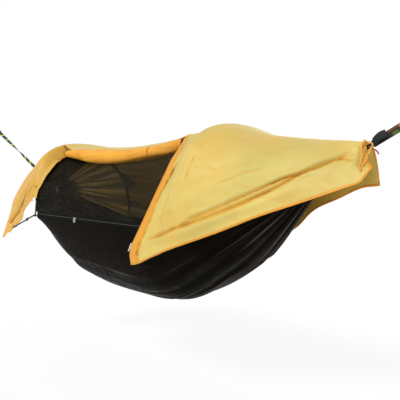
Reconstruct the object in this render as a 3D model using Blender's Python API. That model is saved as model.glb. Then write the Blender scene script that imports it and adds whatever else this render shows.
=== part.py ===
"""A hammock tent: a gathered-end bed with a mosquito net on two arched poles, a rain fly and tree straps.

X runs along the bed, -Y is the side with the doors and +Z is up. The origin lies midway between the two
poles, on the straight line through the two gathered ends, which is the line that the straps pull along.
"""

import math

import bmesh
import bpy
from mathutils import Vector

# Clearances
TOUCH_GAP = 0.0003
CUT_OVERRUN = 0.004

# Bed: a nylon bag gathered at both ends
BED_LEFT_REACH = 1.20
BED_RIGHT_REACH = 1.26
BED_DEPTH = 0.610
BED_LOW_PLACE = 0.420
BED_LOW_RIM_DROP = 0.246
BED_CLOTH = 0.0020
BED_FOLD_DEPTH = 0.009
GATHER_RADIUS = 0.021
GATHER_NECK = 0.038
# Places along the bed, from neck to neck, with the depth there over the full depth
BELLY_SHARES = (
    (0.075, 0.19), (0.175, 0.43), (0.250, 0.74), (0.320, 0.925), (0.488, 1.000),
    (0.655, 0.985), (0.802, 0.700), (0.910, 0.365),
)
BED_COLUMNS = 24
BED_ROWS = 22
BED_FOLDS = 9

# Poles: two arches, each of three tubes with a cord inside
POLE_OFFSET = 0.744
POLE_HALF_WIDTH = 0.346
POLE_FOOT_DROP = 0.190
POLE_APEX_HEIGHT = 0.213
POLE_RADIUS = 0.00425
POLE_BORE_RADIUS = 0.0021
POLE_CORD_RADIUS = 0.0016
POLE_SQUARENESS = 0.823
POLE_STEPS = 30
POLE_SIDES = 6
FERRULE_WALL = 0.0009
TUBE_END_GAP = 0.0016
FERRULE_FIRST_SHARES = (1 / 3, 2 / 3)
SLEEVE_BORE_RADIUS = 0.0060
SLEEVE_CLOTH = 0.0012
SLEEVE_END_STEPS = 2
TIP_RADIUS = 0.0034
TIP_LENGTH = 0.014
TIP_POINT_SHARE = 0.60
TIP_TAPER_SHARE = 0.80
POCKET_WALL = 0.0030
POCKET_DEPTH = 0.011
POCKET_FLOOR = 0.004

# Net: a mesh shell from rim to rim over the arches
NET_CLOTH = 0.0015
NET_MIDDLE_HEIGHT = 0.118
NET_SIDE_DIP = 0.060
NET_DIP_FLATNESS = 4
NET_COLUMNS = 26
NET_ROWS = 18

# Net zip along the near rim
ZIP_TAPE_HEIGHT = 0.011
ZIP_TAPE_THICKNESS = 0.0014
ZIP_CHAIN_GAP = 0.0022
ZIP_END_MARGIN = 0.030
SLIDER_LENGTH = 0.012
SLIDER_HEIGHT = 0.010
SLIDER_WALL = 0.0014
SLIDER_POST = 0.0014
NET_SLIDER_PLACE = -0.215
NET_SLIDER_SPACING = 0.016
PULL_LENGTH = 0.034
PULL_WIDTH = 0.009
PULL_THICKNESS = 0.0018
PULL_SHOULDER_SHARE = 0.60
PULL_PIN_RADIUS = 0.0012
PULL_PIN_LENGTH = 0.0035

# Rain fly
FLY_CLOTH = 0.0014
FLY_POLE_GAP = 0.0035
FLY_LEFT_OVERHANG = 0.400
FLY_RIGHT_OVERHANG = 0.132
FLY_LEFT_REACH = BED_LEFT_REACH + FLY_LEFT_OVERHANG
FLY_RIGHT_REACH = BED_RIGHT_REACH + FLY_RIGHT_OVERHANG
FLY_RIDGE_STANDOFF = 0.019
FLY_CREASE_DEPTH = 0.014
FLY_ROWS = 10
FLY_FOOT_ROWS = 8
FLY_HEADER_ROWS = 2
FLY_COLUMNS_BETWEEN = 2
FLY_CREASE_SHARE = 0.10
PANEL_CREASE_SHARES = (0.86, 0.30)
FLAP_CREASE_STATION = 0.75
FLAP_CREASE_START_SHARE = 0.30
FLAP_CREASE_SPAN_SHARE = 0.45
CREASE_LAST_STATION = 13
HEADER_ANGLE = 72

# Fly shape. A place of -1 or 1 is a pole and one of -2 or 2 an end of the ridge. Across is a share of the
# fly's half width at the poles. Height is a share of the ridge height, and below zero of the pole's drop.
FLY_RIDGE_SHARES = (
    (-2.0000, 0.848), (-1.6963, 1.086), (-1.4579, 1.259), (-1.1822, 1.289), (-1.0000, 1.233),
    (-0.6720, 1.060), (-0.4288, 0.940), (0.0000, 0.884), (0.4624, 0.914), (0.6720, 0.960),
    (0.8602, 0.984), (1.0000, 0.986), (1.2037, 0.759), (1.5340, 0.560), (2.0000, 0.358),
)
# One row for each column of the fly: its place on the ridge, how square its arch is, and then the far foot,
# far hem, near foot and near hem as (place, across, height)
FLY_COLUMN_SHARES = (
    (-2.0000, 1.300, (-1.7897, 0.670, -0.842), (-1.7313, 0.810, -1.737),
     (-1.8131, -0.670, -0.737), (-1.7547, -0.838, -1.816)),
    (-1.7196, 1.150, (-1.6495, 0.810, -0.632), (-1.6262, 0.866, -1.737),
     (-1.6612, -0.782, -0.737), (-1.6262, -0.860, -1.695)),
    (-1.3692, 1.000, (-1.3575, 0.922, -0.632), (-1.3575, 0.963, -1.632),
     (-1.3633, -0.894, -0.632), (-1.3692, -0.950, -1.116)),
    (-1.0093, 0.823, (-1.0000, 1.000, -1.000), (-1.0000, 1.033, -1.579),
     (-1.0222, -1.000, -0.316), (-1.0280, -1.006, -0.621)),
    (-0.5645, 0.823, (-0.5645, 0.984, -1.053), (-0.5645, 1.000, -1.579),
     (-0.5645, -0.984, -1.053), (-0.5645, -0.990, -1.579)),
    (-0.1344, 0.823, (-0.1344, 0.984, -1.053), (-0.1344, 1.000, -1.579),
     (-0.1344, -0.984, -1.053), (-0.1344, -0.990, -1.684)),
    (0.2688, 0.823, (0.2688, 0.984, -1.053), (0.2688, 1.000, -1.579),
     (0.2688, -0.984, -1.053), (0.2688, -0.990, -1.895)),
    (0.5242, 0.823, (0.5645, 0.984, -1.053), (0.5645, 1.000, -1.526),
     (0.5645, -0.984, -1.053), (0.5645, -0.990, -1.895)),
    (0.8602, 1.120, (0.8602, 0.984, -1.053), (0.8602, 0.990, -1.421),
     (0.8401, -0.983, -1.053), (0.7863, -1.019, -1.979)),
    (1.0000, 0.845, (1.0000, 1.000, -1.000), (1.0000, 1.000, -1.342),
     (1.0000, -1.000, -1.000), (1.0000, -1.034, -1.737)),
    (1.2716, 1.000, (1.2716, 0.768, -0.526), (1.2870, 0.698, -0.974),
     (1.2716, -0.824, -0.579), (1.2870, -0.838, -1.379)),
    (1.5340, 1.100, (1.5185, 0.600, -0.316), (1.5031, 0.573, -0.674),
     (1.5340, -0.656, -0.421), (1.5494, -0.684, -1.032)),
    (1.7963, 1.150, (1.7809, 0.461, -0.105), (1.7809, 0.461, -0.432),
     (1.8117, -0.447, -0.263), (1.8426, -0.461, -0.684)),
    (2.0000, 1.200, (2.0123, 0.223, 0.043), (2.0123, 0.279, -0.368),
     (2.0278, -0.209, -0.053), (2.0586, -0.265, -0.379)),
)
# The near panel's free edge: from the ridge down to the zip, the zip's two ends and the lower corner
DOOR_EDGE_SHARES = (
    (0.5847, -0.154, 0.901), (0.6452, -0.318, 0.815), (0.7285, -0.564, 0.509), (0.7876, -0.774, 0.224),
)
DOOR_ZIP_TOP_SHARES = (0.7930, -0.880, -0.0895)
DOOR_ZIP_FOOT_SHARES = (0.5605, -1.044, -1.858)
DOOR_CORNER_SHARES = (0.5511, -1.011, -2.221)

# Rolled door, as (place, across, height, radius)
ROLL_RADIUS = 0.038
ROLL_SIDES = 10
ROLL_SHARES = (
    (-0.9758, -0.447, 0.879, 0.500), (-0.8065, -0.433, 0.826, 0.763), (-0.5914, -0.397, 0.731, 1.000),
    (-0.4435, -0.375, 0.677, 1.118), (-0.2016, -0.341, 0.612, 0.974), (0.1075, -0.321, 0.605, 0.747),
    (0.2554, -0.307, 0.612, 0.658), (0.4435, -0.293, 0.625, 0.632), (0.6008, -0.279, 0.659, 0.450),
)
ROLL_TIE_WIDTH = 0.010
ROLL_TIE_THICKNESS = 0.0022
ROLL_TIE_SHARES = (-0.712, 0.229)
ROLL_END_SHARE = 0.80

# Door zip on the fly
DOOR_TAPE_WIDTH = 0.012
DOOR_TAPE_THICKNESS = 0.0014
DOOR_SLIDER_INSET = 0.022
DOOR_TAPE_CLEARANCE = 0.0006
PANEL_TURN = 20

# Straps, carabiners and suspension ropes
STRAP_WIDTH = 0.030
STRAP_THICKNESS = 0.0020
STRAP_RISE = math.radians(23.95)
STRAP_LEFT_LENGTH = 1.260
STRAP_RIGHT_LENGTH = 0.225
STRAP_NECK_PLACE = 0.040
STRAP_BUNCHED_WIDTH = 0.015
STRAP_TWIST_STEPS = 16
STRAP_TWIST = math.pi
STRAP_TWIST_START_SHARE = 0.32
STRAP_TWIST_END_SHARE = 0.95
TREE_EYE_LENGTH = 0.070
TREE_EYE_HEIGHT = 0.018
TREE_EYE_SHOULDER_SHARE = 0.667
ROPE_RADIUS = 0.0030
ROPE_INSET = 0.012
ROPE_MOUTH_HALF_WIDTH = 0.0160
CARABINER_RADIUS = 0.0040
CARABINER_LENGTH = 0.072
CARABINER_WIDTH = 0.041
CARABINER_CORNER = 0.012
CARABINER_BAR_PLACE = 0.048
GATE_RADIUS = 0.0030
GATE_LENGTH = 0.040
GATE_GAP = 0.0005
GATE_PIN_RADIUS = 0.0010
CHEEK_THICKNESS = 0.0014
WRAP_THICKNESS = 0.0045
WRAP_LENGTH = 0.030
GATHER_CORNER_SHARE = 1.09

# Ties on the fly
TIE_CORD_RADIUS = 0.0019
TIE_PITCH = 0.0055
TIE_RIGHT_SLACK = 0.0145
TIE_TAIL = 0.055
TIE_TAIL_SHARES = ((0.30, 1.00), (0.26, 0.70), (0.20, 0.42), (0.10, 0.18))
TIE_SQUARENESS_SHARE = 0.35
CORNER_LOOP_DROP = 0.045
CORNER_LOOP_LENGTH = 0.032
FLY_CORNER_LOOP_WIDTH = 0.008
TIE_OUT_WIDTH = 0.010
TIE_OUT_THICKNESS = 0.0012
LOCK_LENGTH = 0.024
LOCK_WIDTH = 0.018
LOCK_HEIGHT = 0.007
LOCK_PLACE_SHARE = 0.34
TAB_WIDTH = 0.022
TAB_THICKNESS = 0.0016
TAB_REACH = 0.030
TAB_SEAM = 0.010
TAB_STANDOFF = 0.0016
TAB_STATION = 1.40
TAB_NEIGHBOUR_SHARE = 0.25

# Colours and surfaces, as (colour, roughness, metallic)
FINISHES = {
    "black_nylon": ((0.013, 0.011, 0.010), 0.55, 0.0),
    "black_mesh": ((0.030, 0.029, 0.026), 0.75, 0.0),
    "yellow_ripstop": ((0.720, 0.480, 0.110), 0.50, 0.0),
    "orange_tape": ((0.750, 0.330, 0.050), 0.60, 0.0),
    "black_webbing": ((0.020, 0.024, 0.022), 0.70, 0.0),
    "black_cord": ((0.020, 0.020, 0.020), 0.65, 0.0),
    "pole_glass_fibre": ((0.025, 0.025, 0.027), 0.35, 0.0),
    "bare_aluminium": ((0.600, 0.610, 0.620), 0.32, 1.0),
    "grey_steel": ((0.450, 0.450, 0.460), 0.35, 1.0),
    "white_pull": ((0.800, 0.800, 0.780), 0.50, 0.0),
    "black_plastic": ((0.025, 0.025, 0.026), 0.45, 0.0),
}


def material(name):
    """The named material, made on first use."""
    found = bpy.data.materials.get(name)
    if found:
        return found
    colour, roughness, metallic = FINISHES[name]
    made = bpy.data.materials.new(name)
    made.use_nodes = True
    shader = made.node_tree.nodes["Principled BSDF"]
    shader.inputs["Base Color"].default_value = (*colour, 1.0)
    shader.inputs["Roughness"].default_value = roughness
    shader.inputs["Metallic"].default_value = metallic
    made.diffuse_color = (*colour, 1.0)
    return made


def add_object(name, bm, finish, origin=None):
    """A mesh object from bm, with its origin at the given point."""
    bmesh.ops.recalc_face_normals(bm, faces=bm.faces)
    place = Vector(origin) if origin is not None else Vector()
    bmesh.ops.translate(bm, verts=bm.verts, vec=-place)
    mesh = bpy.data.meshes.new(name)
    bm.to_mesh(mesh)
    bm.free()
    obj = bpy.data.objects.new(name, mesh)
    obj.location = place
    obj.data.materials.append(material(finish))
    bpy.context.scene.collection.objects.link(obj)
    return obj


def boolean(obj, other, operation):
    """Joins or cuts obj by a helper that isn't a part itself."""
    other.hide_render = True
    other.display_type = "WIRE"
    step = obj.modifiers.new(other.name, "BOOLEAN")
    step.operation = operation
    step.solver = "EXACT"
    step.object = other


def hermite(table, x):
    """The smooth curve through (x, value) rows, for numbers or vectors."""
    if x <= table[0][0]:
        return table[0][1]
    if x >= table[-1][0]:
        return table[-1][1]
    k = max(i for i in range(len(table) - 1) if table[i][0] <= x)
    x0, p0 = table[k]
    x1, p1 = table[k + 1]
    before = table[k - 1] if k > 0 else table[k]
    after = table[k + 2] if k + 2 < len(table) else table[k + 1]
    m0 = (p1 - before[1]) / (x1 - before[0])
    m1 = (after[1] - p0) / (after[0] - x0)
    span = x1 - x0
    t = (x - x0) / span
    return (
        p0 * (2 * t**3 - 3 * t**2 + 1)
        + m0 * (span * (t**3 - 2 * t**2 + t))
        + p1 * (3 * t**2 - 2 * t**3)
        + m1 * (span * (t**3 - t**2))
    )


def straight(table, x):
    """The broken line through (x, value) rows."""
    for (x0, p0), (x1, p1) in zip(table, table[1:]):
        if x <= x1:
            t = max(0.0, (x - x0) / (x1 - x0))
            return p0 * (1 - t) + p1 * t
    return table[-1][1]


def cloth_solid(name, grid, thickness, finish, has_cell=None, level_rims=False):
    """A closed sheet: the grid is its outer face and the second face lies inside it, one thickness away.

    Both faces are split along the same diagonals, so that they never cross. With level_rims the two long edges are cut level, so that a sheet above or below can meet them.
    """
    columns, rows = len(grid), len(grid[0])
    bm = bmesh.new()
    outer = [[bm.verts.new(point) for point in column] for column in grid]
    inner = []
    for i in range(columns):
        line = []
        for j in range(rows):
            along = grid[min(i + 1, columns - 1)][j] - grid[max(i - 1, 0)][j]
            across = grid[i][min(j + 1, rows - 1)] - grid[i][max(j - 1, 0)]
            normal = along.cross(across)
            if level_rims and j in (0, rows - 1):
                normal.z = 0.0
            normal.normalize()
            line.append(bm.verts.new(grid[i][j] + normal * thickness))
        inner.append(line)
    cells = {
        (i, j)
        for i in range(columns - 1)
        for j in range(rows - 1)
        if has_cell is None or has_cell(i, j)
    }
    for i, j in cells:
        corners = ((i, j), (i + 1, j), (i + 1, j + 1), (i, j + 1))
        for a, b, c in ((0, 1, 2), (0, 2, 3)):
            first, second, third = corners[a], corners[b], corners[c]
            bm.faces.new([outer[m][n] for m, n in (first, second, third)])
            bm.faces.new([inner[m][n] for m, n in (third, second, first)])
        sides = (
            ((i, j - 1), corners[0], corners[1]),
            ((i + 1, j), corners[1], corners[2]),
            ((i, j + 1), corners[2], corners[3]),
            ((i - 1, j), corners[3], corners[0]),
        )
        for neighbour, first, second in sides:
            if neighbour not in cells:
                bm.faces.new(
                    [outer[second[0]][second[1]], outer[first[0]][first[1]],
                     inner[first[0]][first[1]], inner[second[0]][second[1]]]
                )
    loose = [v for v in bm.verts if not v.link_faces]
    bmesh.ops.delete(bm, geom=loose, context="VERTS")
    return add_object(name, bm, finish)


def rings_to_solid(bm, rings, closed=False):
    """Faces between successive rings, with caps on the two ends unless the rings close on themselves."""
    loops = [[bm.verts.new(point) for point in ring] for ring in rings]
    count = len(loops[0])
    pairs = list(zip(loops, loops[1:]))
    if closed:
        pairs.append((loops[-1], loops[0]))
    for first, second in pairs:
        for k in range(count):
            following = (k + 1) % count
            bm.faces.new([first[k], first[following], second[following], second[k]])
    if not closed:
        bm.faces.new(loops[0])
        bm.faces.new(list(reversed(loops[-1])))
    return loops


def path_frames(path, side, closed=False):
    """For each point of a path: the mitred tangent, and two cross directions that start from `side`."""
    frames = []
    count = len(path)
    for k in range(count):
        if closed:
            before, after = path[k - 1], path[(k + 1) % count]
        else:
            before, after = path[max(k - 1, 0)], path[min(k + 1, count - 1)]
        into = (path[k] - before).normalized() if path[k] != before else (after - path[k]).normalized()
        out = (after - path[k]).normalized() if after != path[k] else into
        tangent = (into + out).normalized()
        first = (side - tangent * side.dot(tangent)).normalized()
        frames.append((tangent, first, tangent.cross(first).normalized(), 1 / max(0.5, tangent.dot(out))))
    return frames


def tube(name, path, radius, finish, side, sides=8, bore=None, closed=False, origin=None):
    """A round bar along a path, or a pipe where bore is given. `side` lies across the path all along."""
    bm = bmesh.new()
    frames = path_frames(path, side, closed)

    def rings(size):
        made = []
        for point, (_, first, second, stretch) in zip(path, frames):
            made.append([
                point
                + first * (size * math.cos(2 * math.pi * k / sides))
                + second * (size * stretch * math.sin(2 * math.pi * k / sides))
                for k in range(sides)
            ])
        return made

    if bore is None:
        rings_to_solid(bm, rings(radius), closed)
        return add_object(name, bm, finish, origin)
    outside = [[bm.verts.new(p) for p in ring] for ring in rings(radius)]
    inside = [[bm.verts.new(p) for p in ring] for ring in rings(bore)]
    for loops in (outside, inside):
        for first, second in zip(loops, loops[1:]):
            for k in range(sides):
                following = (k + 1) % sides
                bm.faces.new([first[k], first[following], second[following], second[k]])
    for end in (0, -1):
        for k in range(sides):
            following = (k + 1) % sides
            bm.faces.new([outside[end][k], outside[end][following], inside[end][following], inside[end][k]])
    return add_object(name, bm, finish, origin)


def ribbon(name, path, widths, thickness, finish, origin=None):
    """A flat band along a path, its two faces split alike. widths holds the half-width vector at each point."""
    bm = bmesh.new()
    rings = []
    for k, (point, half) in enumerate(zip(path, widths)):
        tangent = (path[min(k + 1, len(path) - 1)] - path[max(k - 1, 0)]).normalized()
        skin = tangent.cross(half).normalized() * (thickness / 2)
        rings.append([point - half - skin, point + half - skin, point + half + skin, point - half + skin])
    loops = [[bm.verts.new(point) for point in ring] for ring in rings]
    for first, second in zip(loops, loops[1:]):
        for low, high in ((0, 1), (3, 2)):
            bm.faces.new([first[low], first[high], second[high]])
            bm.faces.new([first[low], second[high], second[low]])
        for near, far in ((1, 2), (3, 0)):
            bm.faces.new([first[near], first[far], second[far], second[near]])
    bm.faces.new(loops[0])
    bm.faces.new(list(reversed(loops[-1])))
    return add_object(name, bm, finish, origin)


def block(bm, centre, along, across, up, size):
    """A box in bm with the given axes and full sizes."""
    corners = []
    for c in (-0.5, 0.5):
        for a, b in ((-0.5, -0.5), (0.5, -0.5), (0.5, 0.5), (-0.5, 0.5)):
            corners.append(centre + along * (a * size[0]) + across * (b * size[1]) + up * (c * size[2]))
    rings_to_solid(bm, [corners[:4], corners[4:]])


def prism(name, outline, holes, depth, finish, origin=None):
    """An outline with holes, all as 3D points in one plane, thickened by the vector depth about that plane."""
    bm = bmesh.new()
    loops = [outline] + list(holes)
    edges = []
    for loop in loops:
        verts = [bm.verts.new(p - depth / 2) for p in loop]
        edges += [bm.edges.new((verts[k], verts[(k + 1) % len(verts)])) for k in range(len(verts))]
    bmesh.ops.triangle_fill(bm, use_beauty=True, use_dissolve=False, edges=edges)
    face_extrusion = bmesh.ops.extrude_face_region(bm, geom=bm.faces[:])
    moved = [v for v in face_extrusion["geom"] if isinstance(v, bmesh.types.BMVert)]
    bmesh.ops.translate(bm, verts=moved, vec=depth)
    return add_object(name, bm, finish, origin)


# Shapes that several pieces share

POLE_STANDOFF = SLEEVE_BORE_RADIUS + SLEEVE_CLOTH + 2 * TOUCH_GAP
RIM_HALF_WIDTH_AT_POLE = POLE_HALF_WIDTH - POLE_STANDOFF
BED_LENGTH = BED_LEFT_REACH + BED_RIGHT_REACH
NECK_LEFT = GATHER_NECK - BED_LEFT_REACH
NECK_RIGHT = BED_RIGHT_REACH - GATHER_NECK
BELLY = (
    ((0.0, GATHER_RADIUS),)
    + tuple((place, depth * BED_DEPTH) for place, depth in BELLY_SHARES)
    + ((1.0, GATHER_RADIUS),)
)
RIM_WIDTHS = (
    (NECK_LEFT, GATHER_RADIUS), (-POLE_OFFSET, RIM_HALF_WIDTH_AT_POLE),
    (POLE_OFFSET, RIM_HALF_WIDTH_AT_POLE), (NECK_RIGHT, GATHER_RADIUS),
)
RIM_HEIGHTS = (
    (NECK_LEFT, 0.0), (-POLE_OFFSET, -POLE_FOOT_DROP), (BED_LOW_PLACE, -BED_LOW_RIM_DROP),
    (POLE_OFFSET, -POLE_FOOT_DROP), (NECK_RIGHT, 0.0),
)
FIXED_PLACES = (NECK_LEFT, -POLE_OFFSET, BED_LOW_PLACE, POLE_OFFSET, NECK_RIGHT)
ZIP_HALF_HEIGHT = ZIP_TAPE_HEIGHT + ZIP_CHAIN_GAP / 2 + TOUCH_GAP


def rim(x, side=-1):
    """The point on the bed's rim line at x, on the near side by default."""
    return Vector((x, side * straight(RIM_WIDTHS, x), straight(RIM_HEIGHTS, x)))


def zip_opening(x):
    """How far the near edge of bed or net stands off the rim line to leave room for the zip's tapes."""
    past_pole = max(0.0, abs(x) - POLE_OFFSET)
    return max(TOUCH_GAP / 2, ZIP_HALF_HEIGHT * (1 - past_pole / ZIP_END_MARGIN))


def stations(start, end, count, fixed):
    """Evenly spread places from start to end that also hold every fixed place."""
    step = (end - start) / count
    places = [start + step * k for k in range(count + 1)]
    for wanted in fixed:
        nearest = min(range(1, count), key=lambda k: abs(places[k] - wanted))
        places[nearest] = wanted
    return sorted(places)


def pole_point(side, share, grow=0.0):
    """A point on a pole's centre line, with share 0 at the near foot and 1 at the far foot."""
    angle = math.pi * share
    cosine, sine = math.cos(angle), abs(math.sin(angle))
    return Vector((
        side * POLE_OFFSET,
        -(POLE_HALF_WIDTH + grow) * math.copysign(abs(cosine) ** POLE_SQUARENESS, cosine),
        -POLE_FOOT_DROP + (POLE_APEX_HEIGHT + POLE_FOOT_DROP + grow) * sine**POLE_SQUARENESS,
    ))


def pole_path(side):
    """The pole's centre line as points an equal length apart."""
    fine = [pole_point(side, k / (8 * POLE_STEPS)) for k in range(8 * POLE_STEPS + 1)]
    reach = [0.0]
    for first, second in zip(fine, fine[1:]):
        reach.append(reach[-1] + (second - first).length)
    table = list(zip(reach, fine))
    return [straight(table, reach[-1] * k / POLE_STEPS) for k in range(POLE_STEPS + 1)]


def end_axes(side):
    """The gather point, the way the strap runs, and the direction up across the strap, for one end."""
    reach = BED_LEFT_REACH if side < 0 else BED_RIGHT_REACH
    along = Vector((side * math.cos(STRAP_RISE), 0.0, math.sin(STRAP_RISE)))
    up = Vector((-side * math.sin(STRAP_RISE), 0.0, math.cos(STRAP_RISE)))
    return Vector((side * reach, 0.0, 0.0)), along, up


# Bed and net

def belly_depth(x):
    return hermite(BELLY, (x - NECK_LEFT) / (NECK_RIGHT - NECK_LEFT))


def fold_strength(x):
    """Folds run from each gather and fade towards the middle of the bed."""
    share = abs(2 * (x + BED_LEFT_REACH) / BED_LENGTH - 1)
    return share**1.5 * (1 - share) * 4


def build_bed():
    grid = []
    for x in stations(-BED_LEFT_REACH, BED_RIGHT_REACH, BED_COLUMNS, FIXED_PLACES):
        edge = rim(x)
        depth = belly_depth(x) + edge.z
        column = []
        for k in range(BED_ROWS + 1):
            share = k / BED_ROWS
            angle = math.pi * (share - 0.5)
            drop = zip_opening(x) * math.sin(angle) ** 2 if angle < 0 else TOUCH_GAP / 2 if k == BED_ROWS else 0.0
            fold = BED_FOLD_DEPTH * fold_strength(x) * math.cos(angle) ** 2 * math.sin(BED_FOLDS * angle * 2)
            out = Vector((0.0, math.sin(angle), -math.cos(angle)))
            point = Vector((x, edge.y * -math.sin(angle), edge.z - depth * math.cos(angle)))
            column.append(point + out * fold - Vector((0.0, 0.0, drop)))
        grid.append(column)
    return cloth_solid("hammock_bed", grid, BED_CLOTH, "black_nylon", level_rims=True)


def net_top(x):
    """The height of the net's ridge: over the poles, dipping between them and falling to the gathers."""
    under_pole = POLE_APEX_HEIGHT - POLE_STANDOFF
    if abs(x) <= POLE_OFFSET:
        dip = 1 - (x / POLE_OFFSET) ** NET_DIP_FLATNESS
        return under_pole - (under_pole - NET_MIDDLE_HEIGHT) * dip
    neck = abs(NECK_LEFT if x < 0 else NECK_RIGHT)
    share = max(0.0, (neck - abs(x)) / (neck - POLE_OFFSET))
    return GATHER_RADIUS + (under_pole - GATHER_RADIUS) * share


def build_net():
    grid = []
    for x in stations(-BED_LEFT_REACH, BED_RIGHT_REACH, NET_COLUMNS, FIXED_PLACES):
        edge = rim(x)
        rise = net_top(x) - edge.z
        dip = NET_SIDE_DIP * max(0.0, 1 - (x / POLE_OFFSET) ** NET_DIP_FLATNESS)
        column = []
        for k in range(NET_ROWS + 1):
            angle = math.pi * k / NET_ROWS
            cosine, sine = math.cos(angle), abs(math.sin(angle))
            width = abs(edge.y) - dip * abs(math.sin(2 * angle))
            lift = zip_opening(x) if k == 0 else TOUCH_GAP / 2 if k == NET_ROWS else 0.0
            column.append(Vector((
                x,
                -width * math.copysign(abs(cosine) ** POLE_SQUARENESS, cosine),
                edge.z + rise * sine**POLE_SQUARENESS + lift,
            )))
        grid.append(list(reversed(column)))
    return cloth_solid("mosquito_net", grid, NET_CLOTH, "black_mesh", level_rims=True)


# Poles with their cord, ferrules, tips, sleeves and pockets

def trimmed(path, first, last, gap_start, gap_end):
    """Part of a path from vertex first to vertex last, shortened at its ends."""
    part = [point.copy() for point in path[first:last + 1]]
    part[0] += (part[1] - part[0]).normalized() * gap_start
    part[-1] += (part[-2] - part[-1]).normalized() * gap_end
    return part


def lathe(name, base, axis, side, profile, sides, finish):
    """A turned piece from (radius, height) rows that start and end on the axis."""
    bm = bmesh.new()
    across = axis.cross(side).normalized()
    rings = []
    for radius, height in profile:
        rings.append([
            base + axis * height
            + side * (radius * math.cos(2 * math.pi * k / sides))
            + across * (radius * math.sin(2 * math.pi * k / sides))
            for k in range(sides)
        ])
    rings_to_solid(bm, rings)
    return add_object(name, bm, finish)


def build_pole(side, word):
    path = pole_path(side)
    flat = Vector((1.0, 0.0, 0.0))
    joints = [round(POLE_STEPS * share) for share in FERRULE_FIRST_SHARES]
    cuts = [0] + joints + [POLE_STEPS]
    for part, first, last in zip(("near_tube", "top_tube", "far_tube"), cuts, cuts[1:]):
        gap_start = 0.0 if first == 0 else TUBE_END_GAP / 2
        gap_end = 0.0 if last == POLE_STEPS else TUBE_END_GAP / 2
        tube(f"{word}_pole_{part}", trimmed(path, first, last, gap_start, gap_end), POLE_RADIUS,
             "pole_glass_fibre", flat, POLE_SIDES, bore=POLE_BORE_RADIUS)
    for part, joint in zip(("near_ferrule", "far_ferrule"), joints):
        bore = POLE_RADIUS + TOUCH_GAP
        tube(f"{word}_pole_{part}", path[joint - 1:joint + 2], bore + FERRULE_WALL,
             "bare_aluminium", flat, POLE_SIDES, bore=bore)
    tube(f"{word}_pole_cord", path, POLE_CORD_RADIUS, "black_cord", flat, 4)
    tube(f"{word}_pole_sleeve", path[SLEEVE_END_STEPS:-SLEEVE_END_STEPS], SLEEVE_BORE_RADIUS + SLEEVE_CLOTH,
         "black_nylon", flat, 8, bore=SLEEVE_BORE_RADIUS)
    for part, foot, following in (("near", path[0], path[1]), ("far", path[-1], path[-2])):
        up = (following - foot).normalized()
        top = foot - up * TOUCH_GAP
        tip = ((TIP_RADIUS * TIP_POINT_SHARE, -TIP_LENGTH), (TIP_RADIUS, -TIP_LENGTH * TIP_TAPER_SHARE),
               (TIP_RADIUS, 0.0))
        lathe(f"{word}_pole_{part}_tip", top, up, flat, tip, 10, "black_plastic")
        bore = TIP_RADIUS + TOUCH_GAP
        seat = -TIP_LENGTH - TOUCH_GAP
        cup = (
            (bore + POCKET_WALL, seat - POCKET_FLOOR), (bore + POCKET_WALL, seat + POCKET_DEPTH),
            (bore, seat + POCKET_DEPTH), (bore, seat),
        )
        lathe(f"{word}_pole_{part}_pocket", top, up, flat, cup, 10, "black_webbing")


# Zip between bed and net

def zip_frame():
    """The straight run of the net zip from the left pole's foot to its low point: start, along, up and out."""
    start, end = rim(-POLE_OFFSET), rim(BED_LOW_PLACE)
    along = (end - start).normalized()
    up = (Vector((0.0, 0.0, 1.0)) - along * along.z).normalized()
    return start, along, up, along.cross(up).normalized()


def build_net_zip():
    _, along, up, _ = zip_frame()
    margin = Vector((ZIP_END_MARGIN, 0.0, 0.0))
    path = [rim(-POLE_OFFSET) + along * ZIP_END_MARGIN, rim(BED_LOW_PLACE), rim(POLE_OFFSET) - margin]
    path[2] = rim(path[2].x)
    for name, way in (("net_zip_lower_tape", -1), ("net_zip_upper_tape", 1)):
        middle = (ZIP_CHAIN_GAP + ZIP_TAPE_HEIGHT) / 2 * way
        half = up * (ZIP_TAPE_HEIGHT / 2)
        ribbon(name, [p + up * middle for p in path], [half] * 3, ZIP_TAPE_THICKNESS, "black_nylon")


def slider_body(name, centre, along, across, out, tape_gap, tape, finish):
    """A slider: two plates either side of the tape, joined by a post that stands in the gap between tapes."""
    plate_place = (tape + SLIDER_WALL) / 2 + TOUCH_GAP
    bm = bmesh.new()
    block(bm, centre, along, across, out,
          (SLIDER_LENGTH, SLIDER_HEIGHT, 2 * plate_place + SLIDER_WALL))
    body = add_object(name, bm, finish, centre)
    for way in (-1, 1):
        bm = bmesh.new()
        reach = SLIDER_HEIGHT / 2
        inner = tape_gap / 2
        block(bm, centre + across * (way * (inner + reach)), along, across, out,
              (SLIDER_LENGTH + 2 * CUT_OVERRUN, 2 * reach, tape + 2 * TOUCH_GAP))
        cutter = add_object(f"{name}_cut_{'low' if way < 0 else 'high'}", bm, finish, centre)
        boolean(body, cutter, "DIFFERENCE")
    return body


def pull_tab(name, pivot, out, down, along, length, finish):
    """A pull that hangs from a stub on the slider: a plate with a hole round the stub."""
    centre = pivot + out * (PULL_THICKNESS / 2)
    sides = 10
    hole = PULL_PIN_RADIUS + TOUCH_GAP
    ring = [
        centre + along * (hole * math.cos(2 * math.pi * k / sides)) + down * (hole * math.sin(2 * math.pi * k / sides))
        for k in range(sides)
    ]
    half, top = PULL_WIDTH / 2, PULL_WIDTH / 2
    shoulder = half * PULL_SHOULDER_SHARE
    outline = [
        centre - along * shoulder - down * top, centre + along * shoulder - down * top,
        centre + along * half, centre + along * half + down * length,
        centre - along * half + down * length, centre - along * half,
    ]
    return prism(name, outline, [ring], out * PULL_THICKNESS, finish, pivot)


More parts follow.
